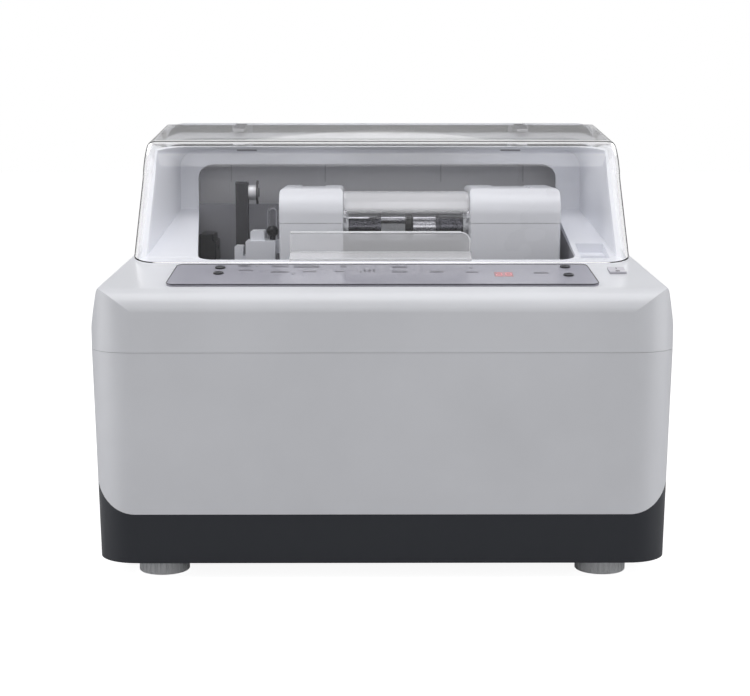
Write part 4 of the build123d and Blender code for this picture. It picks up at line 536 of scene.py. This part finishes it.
def cap_screw_tree(material):
    """Cap screws: a domed head with a recess, on every point."""
    tree = Tree("cap screws", {"Radius": 0.003, "Height": 0.0016})
    radius = tree.start.outputs["Radius"]
    height = tree.start.outputs["Height"]
    head = tree.add("GeometryNodeMeshCylinder")
    head.inputs["Vertices"].default_value = ROUND_SIDES
    tree.link(radius, head.inputs["Radius"])
    tree.link(tree.sum("MULTIPLY", height, HEAD_SHARE), head.inputs["Depth"])
    mesh, top = head.outputs["Mesh"], head.outputs["Top"]
    for rise, shrink in HEAD_STEPS:
        push = tree.add("GeometryNodeExtrudeMesh", mode="FACES")
        push.inputs["Individual"].default_value = False
        tree.link(mesh, push.inputs["Mesh"])
        tree.link(top, push.inputs["Selection"])
        tree.link(tree.sum("MULTIPLY", height, rise), push.inputs["Offset Scale"])
        scale = tree.add("GeometryNodeScaleElements", domain="FACE")
        scale.inputs["Scale"].default_value = shrink
        tree.link(push.outputs["Mesh"], scale.inputs["Geometry"])
        tree.link(push.outputs["Top"], scale.inputs["Selection"])
        mesh, top = scale.outputs["Geometry"], push.outputs["Top"]
    lift = tree.add("GeometryNodeTransform")
    offset = tree.add("ShaderNodeCombineXYZ")
    tree.link(tree.sum("MULTIPLY", height, HEAD_LIFT), offset.inputs["Z"])
    tree.link(mesh, lift.inputs["Geometry"])
    tree.link(offset.outputs["Vector"], lift.inputs["Translation"])
    tree.finish_with(tree.on_points(lift.outputs["Geometry"]), material)
    return tree


def mark_tree(material, round_ends):
    """Printed marks: a thin bar or disc on every point, scaled by the point's size."""
    tree = Tree("printed marks", {"Edge": 1.0})
    if round_ends:
        shape = tree.add("GeometryNodeMeshCylinder")
        shape.inputs["Vertices"].default_value = ROUND_SIDES
        shape.inputs["Depth"].default_value = 1.0
        tree.link(tree.sum("MULTIPLY", tree.start.outputs["Edge"], 0.5), shape.inputs["Radius"])
    else:
        shape = tree.add("GeometryNodeMeshCube")
        edge = tree.add("ShaderNodeCombineXYZ")
        for axis in "XYZ":
            tree.link(tree.start.outputs["Edge"], edge.inputs[axis])
        tree.link(edge.outputs["Vector"], shape.inputs["Size"])
    tree.finish_with(tree.on_points(shape.outputs["Mesh"], scale_by_size=True), material)
    return tree


def ring_tree(material, name):
    """Rings stacked along the Z axis, such as the turns of a clip."""
    tree = Tree(name, {"Count": 5, "Pitch": 0.004, "Ring Radius": 0.01, "Wire Radius": 0.001})
    start = tree.start.outputs
    line = tree.add("GeometryNodeMeshLine", mode="OFFSET")
    step = tree.add("ShaderNodeCombineXYZ")
    tree.link(start["Pitch"], step.inputs["Z"])
    tree.link(start["Count"], line.inputs["Count"])
    tree.link(step.outputs["Vector"], line.inputs["Offset"])
    ring = tree.add("GeometryNodeCurvePrimitiveCircle")
    ring.inputs["Resolution"].default_value = 40
    wire = tree.add("GeometryNodeCurvePrimitiveCircle")
    wire.inputs["Resolution"].default_value = 10
    tree.link(start["Ring Radius"], ring.inputs["Radius"])
    tree.link(start["Wire Radius"], wire.inputs["Radius"])
    tube = tree.add("GeometryNodeCurveToMesh")
    tree.link(ring.outputs["Curve"], tube.inputs["Curve"])
    tree.link(wire.outputs["Curve"], tube.inputs["Profile Curve"])
    places = tree.add("GeometryNodeInstanceOnPoints")
    tree.link(line.outputs["Mesh"], places.inputs["Points"])
    tree.link(tube.outputs["Mesh"], places.inputs["Instance"])
    tree.finish_with(places.outputs["Instances"], material)
    return tree


def grow(thing, tree, values, body, smooth=False, place=None):
    """Runs the tree on the object, keeps the result as a plain mesh and lets it ride on a body."""
    modifier = thing.modifiers.new(tree.group.name, "NODES")
    modifier.node_group = tree.group
    for label, value in values.items():
        modifier[tree.ids[label]] = value
    name = thing.name
    mesh = plain_mesh(thing)
    if not mesh.polygons:
        raise RuntimeError("no faces came out for " + name)
    if place is not None:
        mesh.transform(place)
    if smooth:
        mesh.shade_smooth()
    done = new_object(name, mesh)
    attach(done, body)


def seat(node, start, way):
    """Where a ray from start, in millimetres, first meets the node, and the way that spot faces."""
    mesh = cad[node].data
    skin = BVHTree.FromPolygons([v.co for v in mesh.vertices], [p.vertices for p in mesh.polygons])
    way = Vector(way).normalized()
    place, facing, _, _ = skin.ray_cast(Vector(start) * MM, way)
    if place is None:
        raise RuntimeError("nothing to seat on at " + node)
    return place, -facing if facing.dot(way) > 0 else facing


def screws(name, node, starts, way, body, scale=1.0):
    """Steel cap screws where rays from the starts, in millimetres, meet the node."""
    places, facings = zip(*(seat(node, start, way) for start in starts))
    thing = points_object(name, places, {"facing": facings})
    values = {"Radius": sizes().screw_radius * scale, "Height": sizes().screw_height * scale}
    grow(thing, cap_screw_tree("bare steel"), values, body)


def rim_of(node, way):
    """Points in order round the longest edge of the node's faces that look that way."""
    shape = bmesh.new()
    shape.from_mesh(cad[node].data)
    bmesh.ops.remove_doubles(shape, verts=shape.verts, dist=MM / 100)
    shape.normal_update()
    faces = {face for face in shape.faces if face.normal.dot(way) > SAME_WAY}
    edges = {edge for face in faces for edge in face.edges if sum(f in faces for f in edge.link_faces) == 1}
    loops = []
    while edges:
        edge = edges.pop()
        walk = [edge.verts[0], edge.verts[1]]
        while walk[-1] is not walk[0]:
            follow = next((e for e in walk[-1].link_edges if e in edges), None)
            if follow is None:
                break
            edges.discard(follow)
            walk.append(follow.other_vert(walk[-1]))
        loops.append([vert.co.copy() for vert in walk])
    shape.free()
    if not loops:
        raise RuntimeError("no rim on " + node)
    return max(loops, key=lambda loop: sum((b - a).length for a, b in zip(loop, loop[1:])))


def bead(name, path, radius, material, body):
    """A round bead along a path of points in metres."""
    closed = (path[0] - path[-1]).length < MM / 100
    curve = bpy.data.curves.new(name, "CURVE")
    curve.dimensions = "3D"
    curve.bevel_depth = radius
    curve.bevel_resolution = 3
    curve.use_fill_caps = not closed
    places = path[:-1] if closed else path
    line = curve.splines.new("POLY")
    line.points.add(len(places) - 1)
    line.use_cyclic_u = closed
    for point, place in zip(line.points, places):
        point.co = (*place, 1.0)
    mesh = plain_mesh(new_object(name, curve))
    mesh.materials.clear()
    mesh.materials.append(finish(material))
    mesh.shade_smooth()
    done = new_object(name, mesh)
    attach(done, body)


# Lid, in millimetres. Its foot, bend and back are points (y, z).

LID_WALL = 3.0
LID_FOOT = Vector((-150.0, 297.0))
LID_BEND = Vector((-112.0, 413.0))
LID_BACK = Vector((61.0, 433.4))
LID_CORNER = 26.0
LID_SIDE_CORNER = 7.0
LID_BACK_CORNER = 4.0
LID_HALF = 250.0
LID_HALF_Z = 300.0
LID_LEAN = 9.5 / 113.0
LID_RUN_ON = 24.0
LID_SIDE_DROP = 60.0
LID_CUT = Vector((0.0, -150.0, 296.5))
LID_SHARP = 34.0
LID_FRONT_STEPS = 6
LID_BEND_STEPS = 14
LID_TOP_STEPS = 12
LID_CORNER_STEPS = 8


def lid_half(z):
    """Half the width of the leaning lid at a height, in millimetres."""
    return LID_HALF - (z - LID_HALF_Z) * LID_LEAN


def lid_stations(bend):
    """Points (y, z), outward directions and corner radii from the lid's foot over its bend to its back."""
    rise, run = (LID_BEND - LID_FOOT).normalized(), (LID_BACK - LID_BEND).normalized()
    turn = rise.angle(run)
    reach = bend * math.tan(turn / 2)
    out_front, out_top = Vector((-rise.y, rise.x)), Vector((-run.y, run.x))
    low, start, end = LID_FOOT - rise * LID_RUN_ON, LID_BEND - rise * reach, LID_BEND + run * reach
    centre = start - out_front * bend
    steps = LID_FRONT_STEPS
    stations = [(low.lerp(start, k / steps), out_front, LID_CORNER) for k in range(steps)]
    for k in range(LID_BEND_STEPS + 1):
        angle = turn * k / LID_BEND_STEPS
        out = out_front * math.cos(angle) + rise * math.sin(angle)
        corner = LID_CORNER + (LID_SIDE_CORNER - LID_CORNER) * k / LID_BEND_STEPS
        stations.append((centre + out * bend, out, corner))
    for k in range(1, LID_TOP_STEPS + 1):
        share = k / LID_TOP_STEPS
        corner = LID_SIDE_CORNER + (LID_BACK_CORNER - LID_SIDE_CORNER) * share
        stations.append((end.lerp(LID_BACK, share), out_top, corner))
    return stations


def lid_row(station, inset):
    """One station's points across the lid, from its right side over its top to its left side."""
    spot, out, radius = station
    row = []
    for side in (1, -1):
        arc = []
        for k in range(LID_CORNER_STEPS + 1):
            angle = math.pi / 2 * k / LID_CORNER_STEPS
            place = spot - out * (inset + (radius - inset) * (1 - math.sin(angle)))
            x = lid_half(place.y) - inset - (radius - inset) * (1 - math.cos(angle))
            arc.append(Vector((side * x, place.x, place.y)) * MM)
        row += arc if side > 0 else arc[::-1]
    return row


def lid_skin(shape, bend, inset):
    """One skin of the lid and the points along its back edge, from the right foot to the left."""
    foot = LID_FOOT.y - LID_SIDE_DROP
    rows = [[shape.verts.new(place) for place in lid_row(station, inset)] for station in lid_stations(bend)]
    for low, high in zip(rows, rows[1:]):
        for k in range(len(low) - 1):
            shape.faces.new((low[k], low[k + 1], high[k + 1], high[k]))
    ends = []
    for side, column in ((1, 0), (-1, -1)):
        x = side * (lid_half(foot) - inset) * MM
        end = shape.verts.new((x, LID_BACK.x * MM, foot * MM))
        start = shape.verts.new((x, rows[0][column].co.y, foot * MM))
        ring = [start] + [row[column] for row in rows] + [end]
        shape.faces.new(ring if side < 0 else ring[::-1])
        ends.append((start, end))
    front = [ends[0][0]] + rows[0] + [ends[1][0]]
    shape.faces.new(front[::-1])
    return [ends[0][1]] + rows[-1] + [ends[1][1]], [ends[0][0], ends[1][0]]


def make_lid(bend):
    """The lid's shell, cut along the deck."""
    shape = bmesh.new()
    outer, outer_foot = lid_skin(shape, bend, 0.0)
    inner, inner_foot = lid_skin(shape, bend, LID_WALL)
    for a, b, c, d in zip(outer, outer[1:], inner[1:], inner):
        shape.faces.new((a, b, c, d))
    loops = zip((outer[0], outer_foot[0], outer_foot[1]), (outer_foot[0], outer_foot[1], outer[-1]),
                (inner_foot[0], inner_foot[1], inner[-1]), (inner[0], inner_foot[0], inner_foot[1]))
    for corners in loops:
        shape.faces.new(corners)
    bmesh.ops.recalc_face_normals(shape, faces=shape.faces)
    whole = [*shape.verts, *shape.edges, *shape.faces]
    cut = bmesh.ops.bisect_plane(shape, geom=whole, plane_co=LID_CUT * MM, plane_no=deck_up(),
                                 clear_inner=True)
    edges = [item for item in cut["geom_cut"] if isinstance(item, bmesh.types.BMEdge)]
    bmesh.ops.triangle_fill(shape, edges=edges, use_beauty=True)
    bmesh.ops.triangulate(shape, faces=[face for face in shape.faces if len(face.verts) > 4])
    bmesh.ops.recalc_face_normals(shape, faces=shape.faces)
    return shape


# Control panel, in millimetres. Bars are (x, y, width, depth) and dots are (x, y, diameter). A figure's
# bars are (across, along, lies flat), in shares of half its size.

PANEL_BARS = (
    (-135.8, -163.0, 11.0, 7.0), (-133.0, -179.4, 13.7, 4.0), (-100.6, -165.0, 15.8, 5.0),
    (-100.5, -185.3, 15.6, 6.0), (-74.5, -166.0, 24.6, 8.0), (-70.4, -183.5, 13.6, 4.4),
    (-37.6, -165.0, 6.0, 6.4), (-41.7, -183.5, 8.8, 3.8), (-16.8, -180.7, 2.4, 10.0),
    (-12.5, -180.7, 2.4, 10.0), (-8.2, -180.7, 2.4, 10.0), (17.0, -168.2, 14.8, 5.4),
    (16.8, -184.7, 14.6, 6.0), (53.0, -184.8, 13.2, 6.0), (87.3, -185.9, 11.7, 4.8),
    (154.1, -189.3, 13.6, 4.8),
)
PANEL_DOTS = (
    (-123.2, -163.1, 3.0), (-86.4, -192.2, 3.0), (-20.8, -185.4, 2.6), (-92.0, -185.0, 3.2),
    (87.3, -170.0, 4.0),
)
FIGURE_STEP = 4.6
FIGURE_HALF_WIDE = 2.6
FIGURE_HALF_HIGH = 4.6
FIGURE_BARS = {
    "top": (0.0, 1.0, True), "middle": (0.0, 0.0, True), "bottom": (0.0, -1.0, True),
    "upper left": (-1.0, 0.5, False), "upper right": (1.0, 0.5, False),
    "lower left": (-1.0, -0.5, False), "lower right": (1.0, -0.5, False),
}


def panel_plane(node="control_panel"):
    """Height of the panel's top at y = 0 and the tangent of its tilt."""
    tilt = math.tan(DECK_TILT)
    return max(v.co.z - tilt * v.co.y for v in cad[node].data.vertices), tilt


def on_panel(x, y, lift, plane):
    """A point above the panel at x and y in millimetres."""
    height, tilt = plane
    return Vector((x * MM, y * MM, height + tilt * y * MM)) + deck_up() * lift


def marks(name, places, material, body, round_ends=False):
    """Thin bars or discs at places, each a point, a way to face and a size, all in metres."""
    points, facings, spans = zip(*places)
    thing = points_object(name, points, {"facing": facings, "size": spans})
    grow(thing, mark_tree(material, round_ends), {"Edge": 1.0}, body)


class EDGER_OT_panel(bpy.types.Operator):
    """Prints the control panel's marks and lights its display"""

    bl_idname = "edger.panel"
    bl_label = "Control Panel"

    def execute(self, context):
        dress("panel film", "control_panel")
        dress("display window", "display")
        dress("key rubber", "key_left_front", "key_left_back", "key_right_front", "key_right_back")
        plane = panel_plane()
        thin = sizes().print_height
        up = deck_up()
        bars = [(on_panel(x, y, thin / 2, plane), up, (w * MM, d * MM, thin)) for x, y, w, d in PANEL_BARS]
        marks("panel_marks", bars, "panel print", "machine")
        dots = [(on_panel(x, y, thin / 2, plane), up, (d * MM, d * MM, thin)) for x, y, d in PANEL_DOTS]
        marks("panel_lamps", dots, "panel print", "machine", round_ends=True)
        low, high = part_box("display")
        middle = (low + high) / 2 / MM
        top = panel_plane("display")
        bar = sizes().bar_width
        lit = []
        for centre in (-FIGURE_STEP, FIGURE_STEP):
            for label, (across, along, flat) in FIGURE_BARS.items():
                if centre < 0 and label == "upper left":
                    continue
                x = middle.x + centre + across * FIGURE_HALF_WIDE
                y = middle.y + along * FIGURE_HALF_HIGH
                long_side = (FIGURE_HALF_WIDE * 2 if flat else FIGURE_HALF_HIGH) * MM - bar
                size = (long_side, bar, thin) if flat else (bar, long_side, thin)
                lit.append((on_panel(x, y, thin / 2, top), up, size))
        marks("display_figures", lit, "display figure", "machine")
        # A dark bead round the panel's edge: painted shade where the film's edge falls in shade.
        bead("panel_edge_shade", rim_of("control_panel", up), sizes().edge_shade_radius, "key rubber", "machine")
        return {"FINISHED"}


# Power switch, in millimetres.

SWITCH_RAY = 20.0
ON_BAR = (0.8, 4.0)
OFF_RADIUS = 2.0
OFF_WIRE = 0.3
OFF_STEPS = 32


class EDGER_OT_switch(bpy.types.Operator):
    """Finishes the power switch and prints its on and off signs"""

    bl_idname = "edger.switch"
    bl_label = "Power Switch"

    def execute(self, context):
        dress("rocker grey", "power_switch")
        low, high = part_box("power_switch")
        middle = (low + high) / 2 / MM
        reach = (high.y - low.y) / 4 / MM
        thin = sizes().print_height
        above = high.z / MM + SWITCH_RAY
        bar, facing = seat("power_switch", (middle.x, middle.y + reach, above), (0, 0, -1))
        wide, deep = ON_BAR
        marks("switch_bar", [(bar, facing, (wide * MM, deep * MM, thin))], "key rubber", "rocker")
        ring, facing = seat("power_switch", (middle.x, middle.y - reach, above), (0, 0, -1))
        turn = facing.to_track_quat("Z", "Y")
        path = [ring + turn @ Vector((math.cos(a), math.sin(a), 0.0)) * OFF_RADIUS * MM
                for a in (math.tau * k / OFF_STEPS for k in range(OFF_STEPS + 1))]
        bead("switch_ring", path, OFF_WIRE * MM, "key rubber", "rocker")
        return {"FINISHED"}


class EDGER_OT_cabinet(bpy.types.Operator):
    """Finishes the cabinet, the base tray and the feet"""

    bl_idname = "edger.cabinet"
    bl_label = "Cabinet"

    def execute(self, context):
        dress("white shell", "body_shell", "top_shell", "rear_cover")
        dress("dark base", "base_tray")
        dress("foot white", "foot_front_left", "foot_front_right", "foot_back_left", "foot_back_right")
        return {"FINISHED"}


class EDGER_OT_lid(bpy.types.Operator):
    """Finishes the clear lid and its hinges"""

    bl_idname = "edger.lid"
    bl_label = "Clear Lid"

    def execute(self, context):
        dress("clear plastic", "lid")
        dress("bare steel", "lid_hinge_left", "lid_hinge_right")
        lid = from_bmesh("clear_lid", make_lid(sizes().lid_bend / MM), "clear plastic", smooth=True)
        lid.data.set_sharp_from_angle(angle=math.radians(LID_SHARP))
        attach(lid, "lid_assembly")
        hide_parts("lid")
        return {"FINISHED"}


# Lines of painted shade in the chamber, in millimetres: in the slots that the hinges pass and in the wall's
# seams.

SLOT_X = (-149.0, 145.0)
SLOT_Z = 411.0
SLOT_SIZE = (22.0, 3.4)
SEAM_X = (-171.0, -63.0, 70.0, 164.6)
SEAM_Z = 388.0
SEAM_SIZE = (1.6, 40.0)
IN_FRONT = -300.0


def painted_shade_lines(name, node, columns, height, size, material):
    """Lines of painted shade where rays from the front meet the node at those columns."""
    wide, high = size
    spots = [seat(node, (x, IN_FRONT, height), (0, 1, 0)) for x in columns]
    block = (wide * MM, high * MM, sizes().print_height)
    marks(name, [(place, facing, block) for place, facing in spots], material, "machine")


class EDGER_OT_chamber(bpy.types.Operator):
    """Finishes the grinding chamber and its tub"""

    bl_idname = "edger.chamber"
    bl_label = "Grinding Chamber"

    def execute(self, context):
        # The surround's finish carries painted light, a lighter copy of the cabinet's white.
        dress("surround white", "chamber_surround")
        dress("tub grey", "chamber_tub")
        dress("hollow grey", "chamber_back")
        dress("guard plastic", "splash_guard")
        dress("black fitting", "lens_probe")
        painted_shade_lines("hinge_slot_shade", "chamber_surround", SLOT_X, SLOT_Z, SLOT_SIZE, "slot shade")
        painted_shade_lines("back_groove_shade", "chamber_back", SEAM_X, SEAM_Z, SEAM_SIZE, "seam shade")
        # White beads along the guard's top and front edges: a painted highlight of their bright edges.
        for name, way in (("guard_top_highlight", (0, 0, 1)), ("guard_front_highlight", (0, -1, 0))):
            bead(name, rim_of("splash_guard", Vector(way)), sizes().edge_highlight_radius, "foot white", "machine")
        return {"FINISHED"}


class EDGER_OT_carriage(bpy.types.Operator):
    """Finishes the swinging carriage, its arms, lens shafts and hood"""

    bl_idname = "edger.carriage"
    bl_label = "Carriage"

    def execute(self, context):
        # The arm covers and the nozzle get a slightly darker copy of the cabinet's white, as painted shade.
        dress("arm white", "left_arm_cover", "left_arm_skirt", "right_arm_cover", "right_arm_skirt")
        dress("cast aluminium", "carriage_frame", "saddle", "pedestal_left", "pedestal_right")
        dress("chrome steel", "pivot_shaft")
        dress("dark steel", "left_lens_shaft", "clamp_sleeve", "lens_chuck")
        dress("bare steel", "clamp_shaft", "sync_shaft", "lead_screw")
        dress("rubber black", "clamp_pad")
        dress("motor paint", "lens_motor", "traverse_motor")
        dress("hood plastic", "lens_hood")
        dress("clear plastic", "coolant_tube")
        dress("arm white", "coolant_nozzle")
        dress("black fitting", "nozzle_ball")
        return {"FINISHED"}


class EDGER_OT_wheels(bpy.types.Operator):
    """Finishes the grinding wheels, their spindle and drive"""

    bl_idname = "edger.wheels"
    bl_label = "Grinding Wheels"

    def execute(self, context):
        dress("wheel grit", "rough_wheel", "finishing_wheel")
        dress("bare steel", "spindle", "wheel_nut")
        dress("cast aluminium", "spindle_housing", "motor_pulley")
        dress("motor paint", "spindle_motor")
        dress("rubber black", "drive_belt")
        dress("plated steel", "chassis")
        return {"FINISHED"}


class EDGER_OT_groover(bpy.types.Operator):
    """Finishes the grooving arm and its disc"""

    bl_idname = "edger.groover"
    bl_label = "Grooving Arm"

    def execute(self, context):
        dress("black metal", "groove_arm")
        dress("groove grit", "groove_wheel")
        return {"FINISHED"}


# Fasteners at the back, in millimetres, but for what the clip's tree is given in metres.

RAY_REACH = 60.0
PANEL_SCREW_EDGE = 9.0
PANEL_SCREW_SCALE = 0.85
COVER_SCREW_RISE = 14.0
COVER_SCREW_EDGE = 34.0
CLIP_STEP = 12.0
CLIP_VALUES = {"Pitch": 0.0016, "Ring Radius": 0.0154, "Wire Radius": 0.0009}


def drain_height():
    """Height of the drain hose's open end."""
    points = cad["drain_hose"].data.vertices
    back = max(v.co.y for v in points)
    ring = [v.co.z for v in points if v.co.y > back - MM]
    return (max(ring) + min(ring)) / 2


class EDGER_OT_rear(bpy.types.Operator):
    """Finishes the rear panel and its connections"""

    bl_idname = "edger.rear"
    bl_label = "Rear Panel"

    def execute(self, context):
        dress("rear grey", "rear_panel")
        dress("black fitting", "power_inlet")
        dress("rubber grey", "drain_hose")
        dress("brass", "water_inlet")
        low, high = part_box("rear_panel")
        behind = high.y / MM + RAY_REACH
        left, bottom = low.x / MM + PANEL_SCREW_EDGE, low.z / MM + PANEL_SCREW_EDGE
        right, top = high.x / MM - PANEL_SCREW_EDGE, high.z / MM - PANEL_SCREW_EDGE
        starts = [(x, behind, z) for x in (left, (left + right) / 2, right) for z in (bottom, top)]
        screws("rear_panel_screws", "rear_panel", starts, (0, -1, 0), "machine", PANEL_SCREW_SCALE)
        low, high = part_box("rear_cover")
        z = low.z / MM + COVER_SCREW_RISE
        span = high.x / MM - COVER_SCREW_EDGE
        starts = [(x, behind + RAY_REACH, z) for x in (-span, -span / 3, span / 3, span)]
        screws("rear_cover_screws", "rear_cover", starts, (0, -1, 0), "machine")
        low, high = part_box("drain_hose")
        place = Matrix.Translation(((low.x + high.x) / 2, high.y - CLIP_STEP * MM, drain_height()))
        along = Matrix.Rotation(-math.pi / 2, 4, "X")
        thing = points_object("hose_clip", [(0.0, 0.0, 0.0)], {})
        ring = ring_tree("bare steel", "hose clip")
        values = {"Count": sizes().clip_turns, **CLIP_VALUES}
        grow(thing, ring, values, "machine", smooth=True, place=place @ along)
        return {"FINISHED"}


# Stage. A lamp is its name, outline, place, target, width, height and power in watts.

CAMERA_PLACE = (-0.0145, -1.750, 0.429)
CAMERA_PITCH = 7.75
CAMERA_YAW = 0.27
CAMERA_LENS = 77.4
LAMPS = (
    ("top softbox", "RECTANGLE", (0.0, -0.48, 1.55), (0.0, 0.0, 0.30), 1.6, 1.0, 11.7),
    ("front softbox", "RECTANGLE", (0.0, -2.60, 1.10), (0.0, 0.0, 0.34), 1.6, 0.9, 5.5),
    ("left softbox", "RECTANGLE", (-1.75, -0.35, 0.70), (-0.1, -0.05, 0.25), 1.3, 1.6, 11.5),
    ("right softbox", "RECTANGLE", (1.75, -0.35, 0.70), (0.1, -0.05, 0.25), 1.3, 1.6, 11.5),
    ("left rear softbox", "RECTANGLE", (-1.70, 1.90, 1.50), (-0.1, 0.1, 0.25), 0.9, 0.9, 7.0),
    ("right rear softbox", "RECTANGLE", (1.70, 1.90, 1.50), (0.1, 0.1, 0.25), 0.9, 0.9, 7.0),
    ("lid highlight", "ELLIPSE", (0.0, 2.00, 1.055), (0.0, 0.0, 0.43), 1.50, 0.28, 0.45),
)
AMBIENT = 0.225
FLOOR_GLOW = 0.92
FLOOR_SHARE = 0.62
FLOOR_HALF = 14.0


def seen_plainly(tree):
    """One for rays from the camera and through clear plastic, nought for the rest."""
    path = tree.nodes.new("ShaderNodeLightPath")
    return shader_sum(tree, "MAXIMUM", path.outputs["Is Camera Ray"], path.outputs["Is Transmission Ray"])


def stage_finish(name, tint):
    """Pale ground that shows white behind the object and keeps its shadow."""
    material = new_finish(name, scaled(tint, FLOOR_SHARE), 0.9, more={"Specular IOR Level": 0.1})
    tree = material.node_tree
    glow = tree.nodes.new("ShaderNodeEmission")
    tree.links.new(shader_sum(tree, "MULTIPLY", seen_plainly(tree), FLOOR_GLOW), glow.inputs["Strength"])
    both = tree.nodes.new("ShaderNodeAddShader")
    tree.links.new(shader_of(material).outputs["BSDF"], both.inputs[0])
    tree.links.new(glow.outputs["Emission"], both.inputs[1])
    tree.links.new(both.outputs["Shader"], tree.nodes["Material Output"].inputs["Surface"])
    return material


def light_world(ambient):
    """A world that lights softly and shows white to the camera and through clear plastic."""
    world = bpy.data.worlds.new("studio")
    world.use_nodes = True
    bpy.context.scene.world = world
    tree = world.node_tree
    sky = tree.nodes["Background"]
    sky.inputs["Color"].default_value = (1.0, 1.0, 1.0, 1.0)
    path = tree.nodes.new("ShaderNodeLightPath")
    first = shader_sum(tree, "LESS_THAN", path.outputs["Diffuse Depth"], 0.5)
    direct = shader_sum(tree, "MULTIPLY", seen_plainly(tree), first)
    strength = tree.nodes.new("ShaderNodeMapRange")
    strength.inputs["To Min"].default_value = ambient
    strength.inputs["To Max"].default_value = 1.0
    tree.links.new(direct, strength.inputs["Value"])
    tree.links.new(strength.outputs["Result"], sky.inputs["Strength"])


def aim(thing, place, target):
    """Puts a lamp at a place and points it at a target."""
    thing.location = place
    thing.rotation_euler = (Vector(target) - Vector(place)).to_track_quat("-Z", "Y").to_euler()


class EDGER_OT_stage(bpy.types.Operator):
    """Sets the floor, the lamps and the camera"""

    bl_idname = "edger.stage"
    bl_label = "Stage"

    def execute(self, context):
        shape = bmesh.new()
        bmesh.ops.create_grid(shape, x_segments=1, y_segments=1, size=FLOOR_HALF)
        mesh = bpy.data.meshes.new("floor")
        shape.to_mesh(mesh)
        shape.free()
        mesh.materials.append(stage_finish("pale floor", colours().floor))
        new_object("floor", mesh)
        light_world(AMBIENT)
        for name, outline, place, target, wide, high, power in LAMPS:
            lamp = bpy.data.lights.new(name, "AREA")
            lamp.shape = outline
            lamp.size, lamp.size_y = wide, high
            lamp.energy = power
            thing = new_object(name, lamp)
            thing.visible_camera = False
            aim(thing, place, target)
        eye = bpy.data.cameras.new("photo camera")
        eye.sensor_width = 36.0
        eye.lens = CAMERA_LENS
        eye.clip_end = 60.0
        camera = new_object("photo camera", eye)
        camera.location = CAMERA_PLACE
        camera.rotation_euler = (math.radians(90.0 - CAMERA_PITCH), 0.0, math.radians(-CAMERA_YAW))
        context.scene.camera = camera
        context.scene.view_settings.view_transform = "Standard"
        return {"FINISHED"}


class EDGER_PT_sidebar(bpy.types.Panel):
    """Lists the machine's pieces"""

    bl_label = "Lens Edger"
    bl_idname = "EDGER_PT_sidebar"
    bl_space_type = "VIEW_3D"
    bl_region_type = "UI"
    bl_category = "Lens Edger"

    def draw(self, context):
        layout = self.layout
        for group in (context.scene.edger_colours, context.scene.edger_sizes):
            box = layout.box()
            for label in group.__annotations__:
                box.prop(group, label)
        for operator in OPERATORS:
            layout.operator(operator.bl_idname)


OPERATORS = (
    EDGER_OT_cabinet, EDGER_OT_lid, EDGER_OT_chamber, EDGER_OT_panel, EDGER_OT_switch, EDGER_OT_carriage,
    EDGER_OT_wheels, EDGER_OT_groover, EDGER_OT_rear, EDGER_OT_stage,
)
CLASSES = (EdgerColours, EdgerSizes, *OPERATORS, EDGER_PT_sidebar)


def register():
    """Adds the classes and the scene's two groups of properties."""
    for item in CLASSES:
        bpy.utils.register_class(item)
    bpy.types.Scene.edger_colours = bpy.props.PointerProperty(type=EdgerColours)
    bpy.types.Scene.edger_sizes = bpy.props.PointerProperty(type=EdgerSizes)


def unregister():
    """Takes away what register added."""
    del bpy.types.Scene.edger_sizes
    del bpy.types.Scene.edger_colours
    for item in reversed(CLASSES):
        bpy.utils.unregister_class(item)


def main():
    """Builds every piece in order and makes sure every CAD node has a finish."""
    register()
    bpy.ops.edger.cabinet()
    bpy.ops.edger.lid()
    bpy.ops.edger.chamber()
    bpy.ops.edger.panel()
    bpy.ops.edger.switch()
    bpy.ops.edger.carriage()
    bpy.ops.edger.wheels()
    bpy.ops.edger.groover()
    bpy.ops.edger.rear()
    bpy.ops.edger.stage()
    for node, thing in cad.items():
        if not thing.data.materials or thing.data.materials[0] not in finish_cache.values():
            raise RuntimeError("no finish for " + node)


if __name__ == "__main__":
    main()
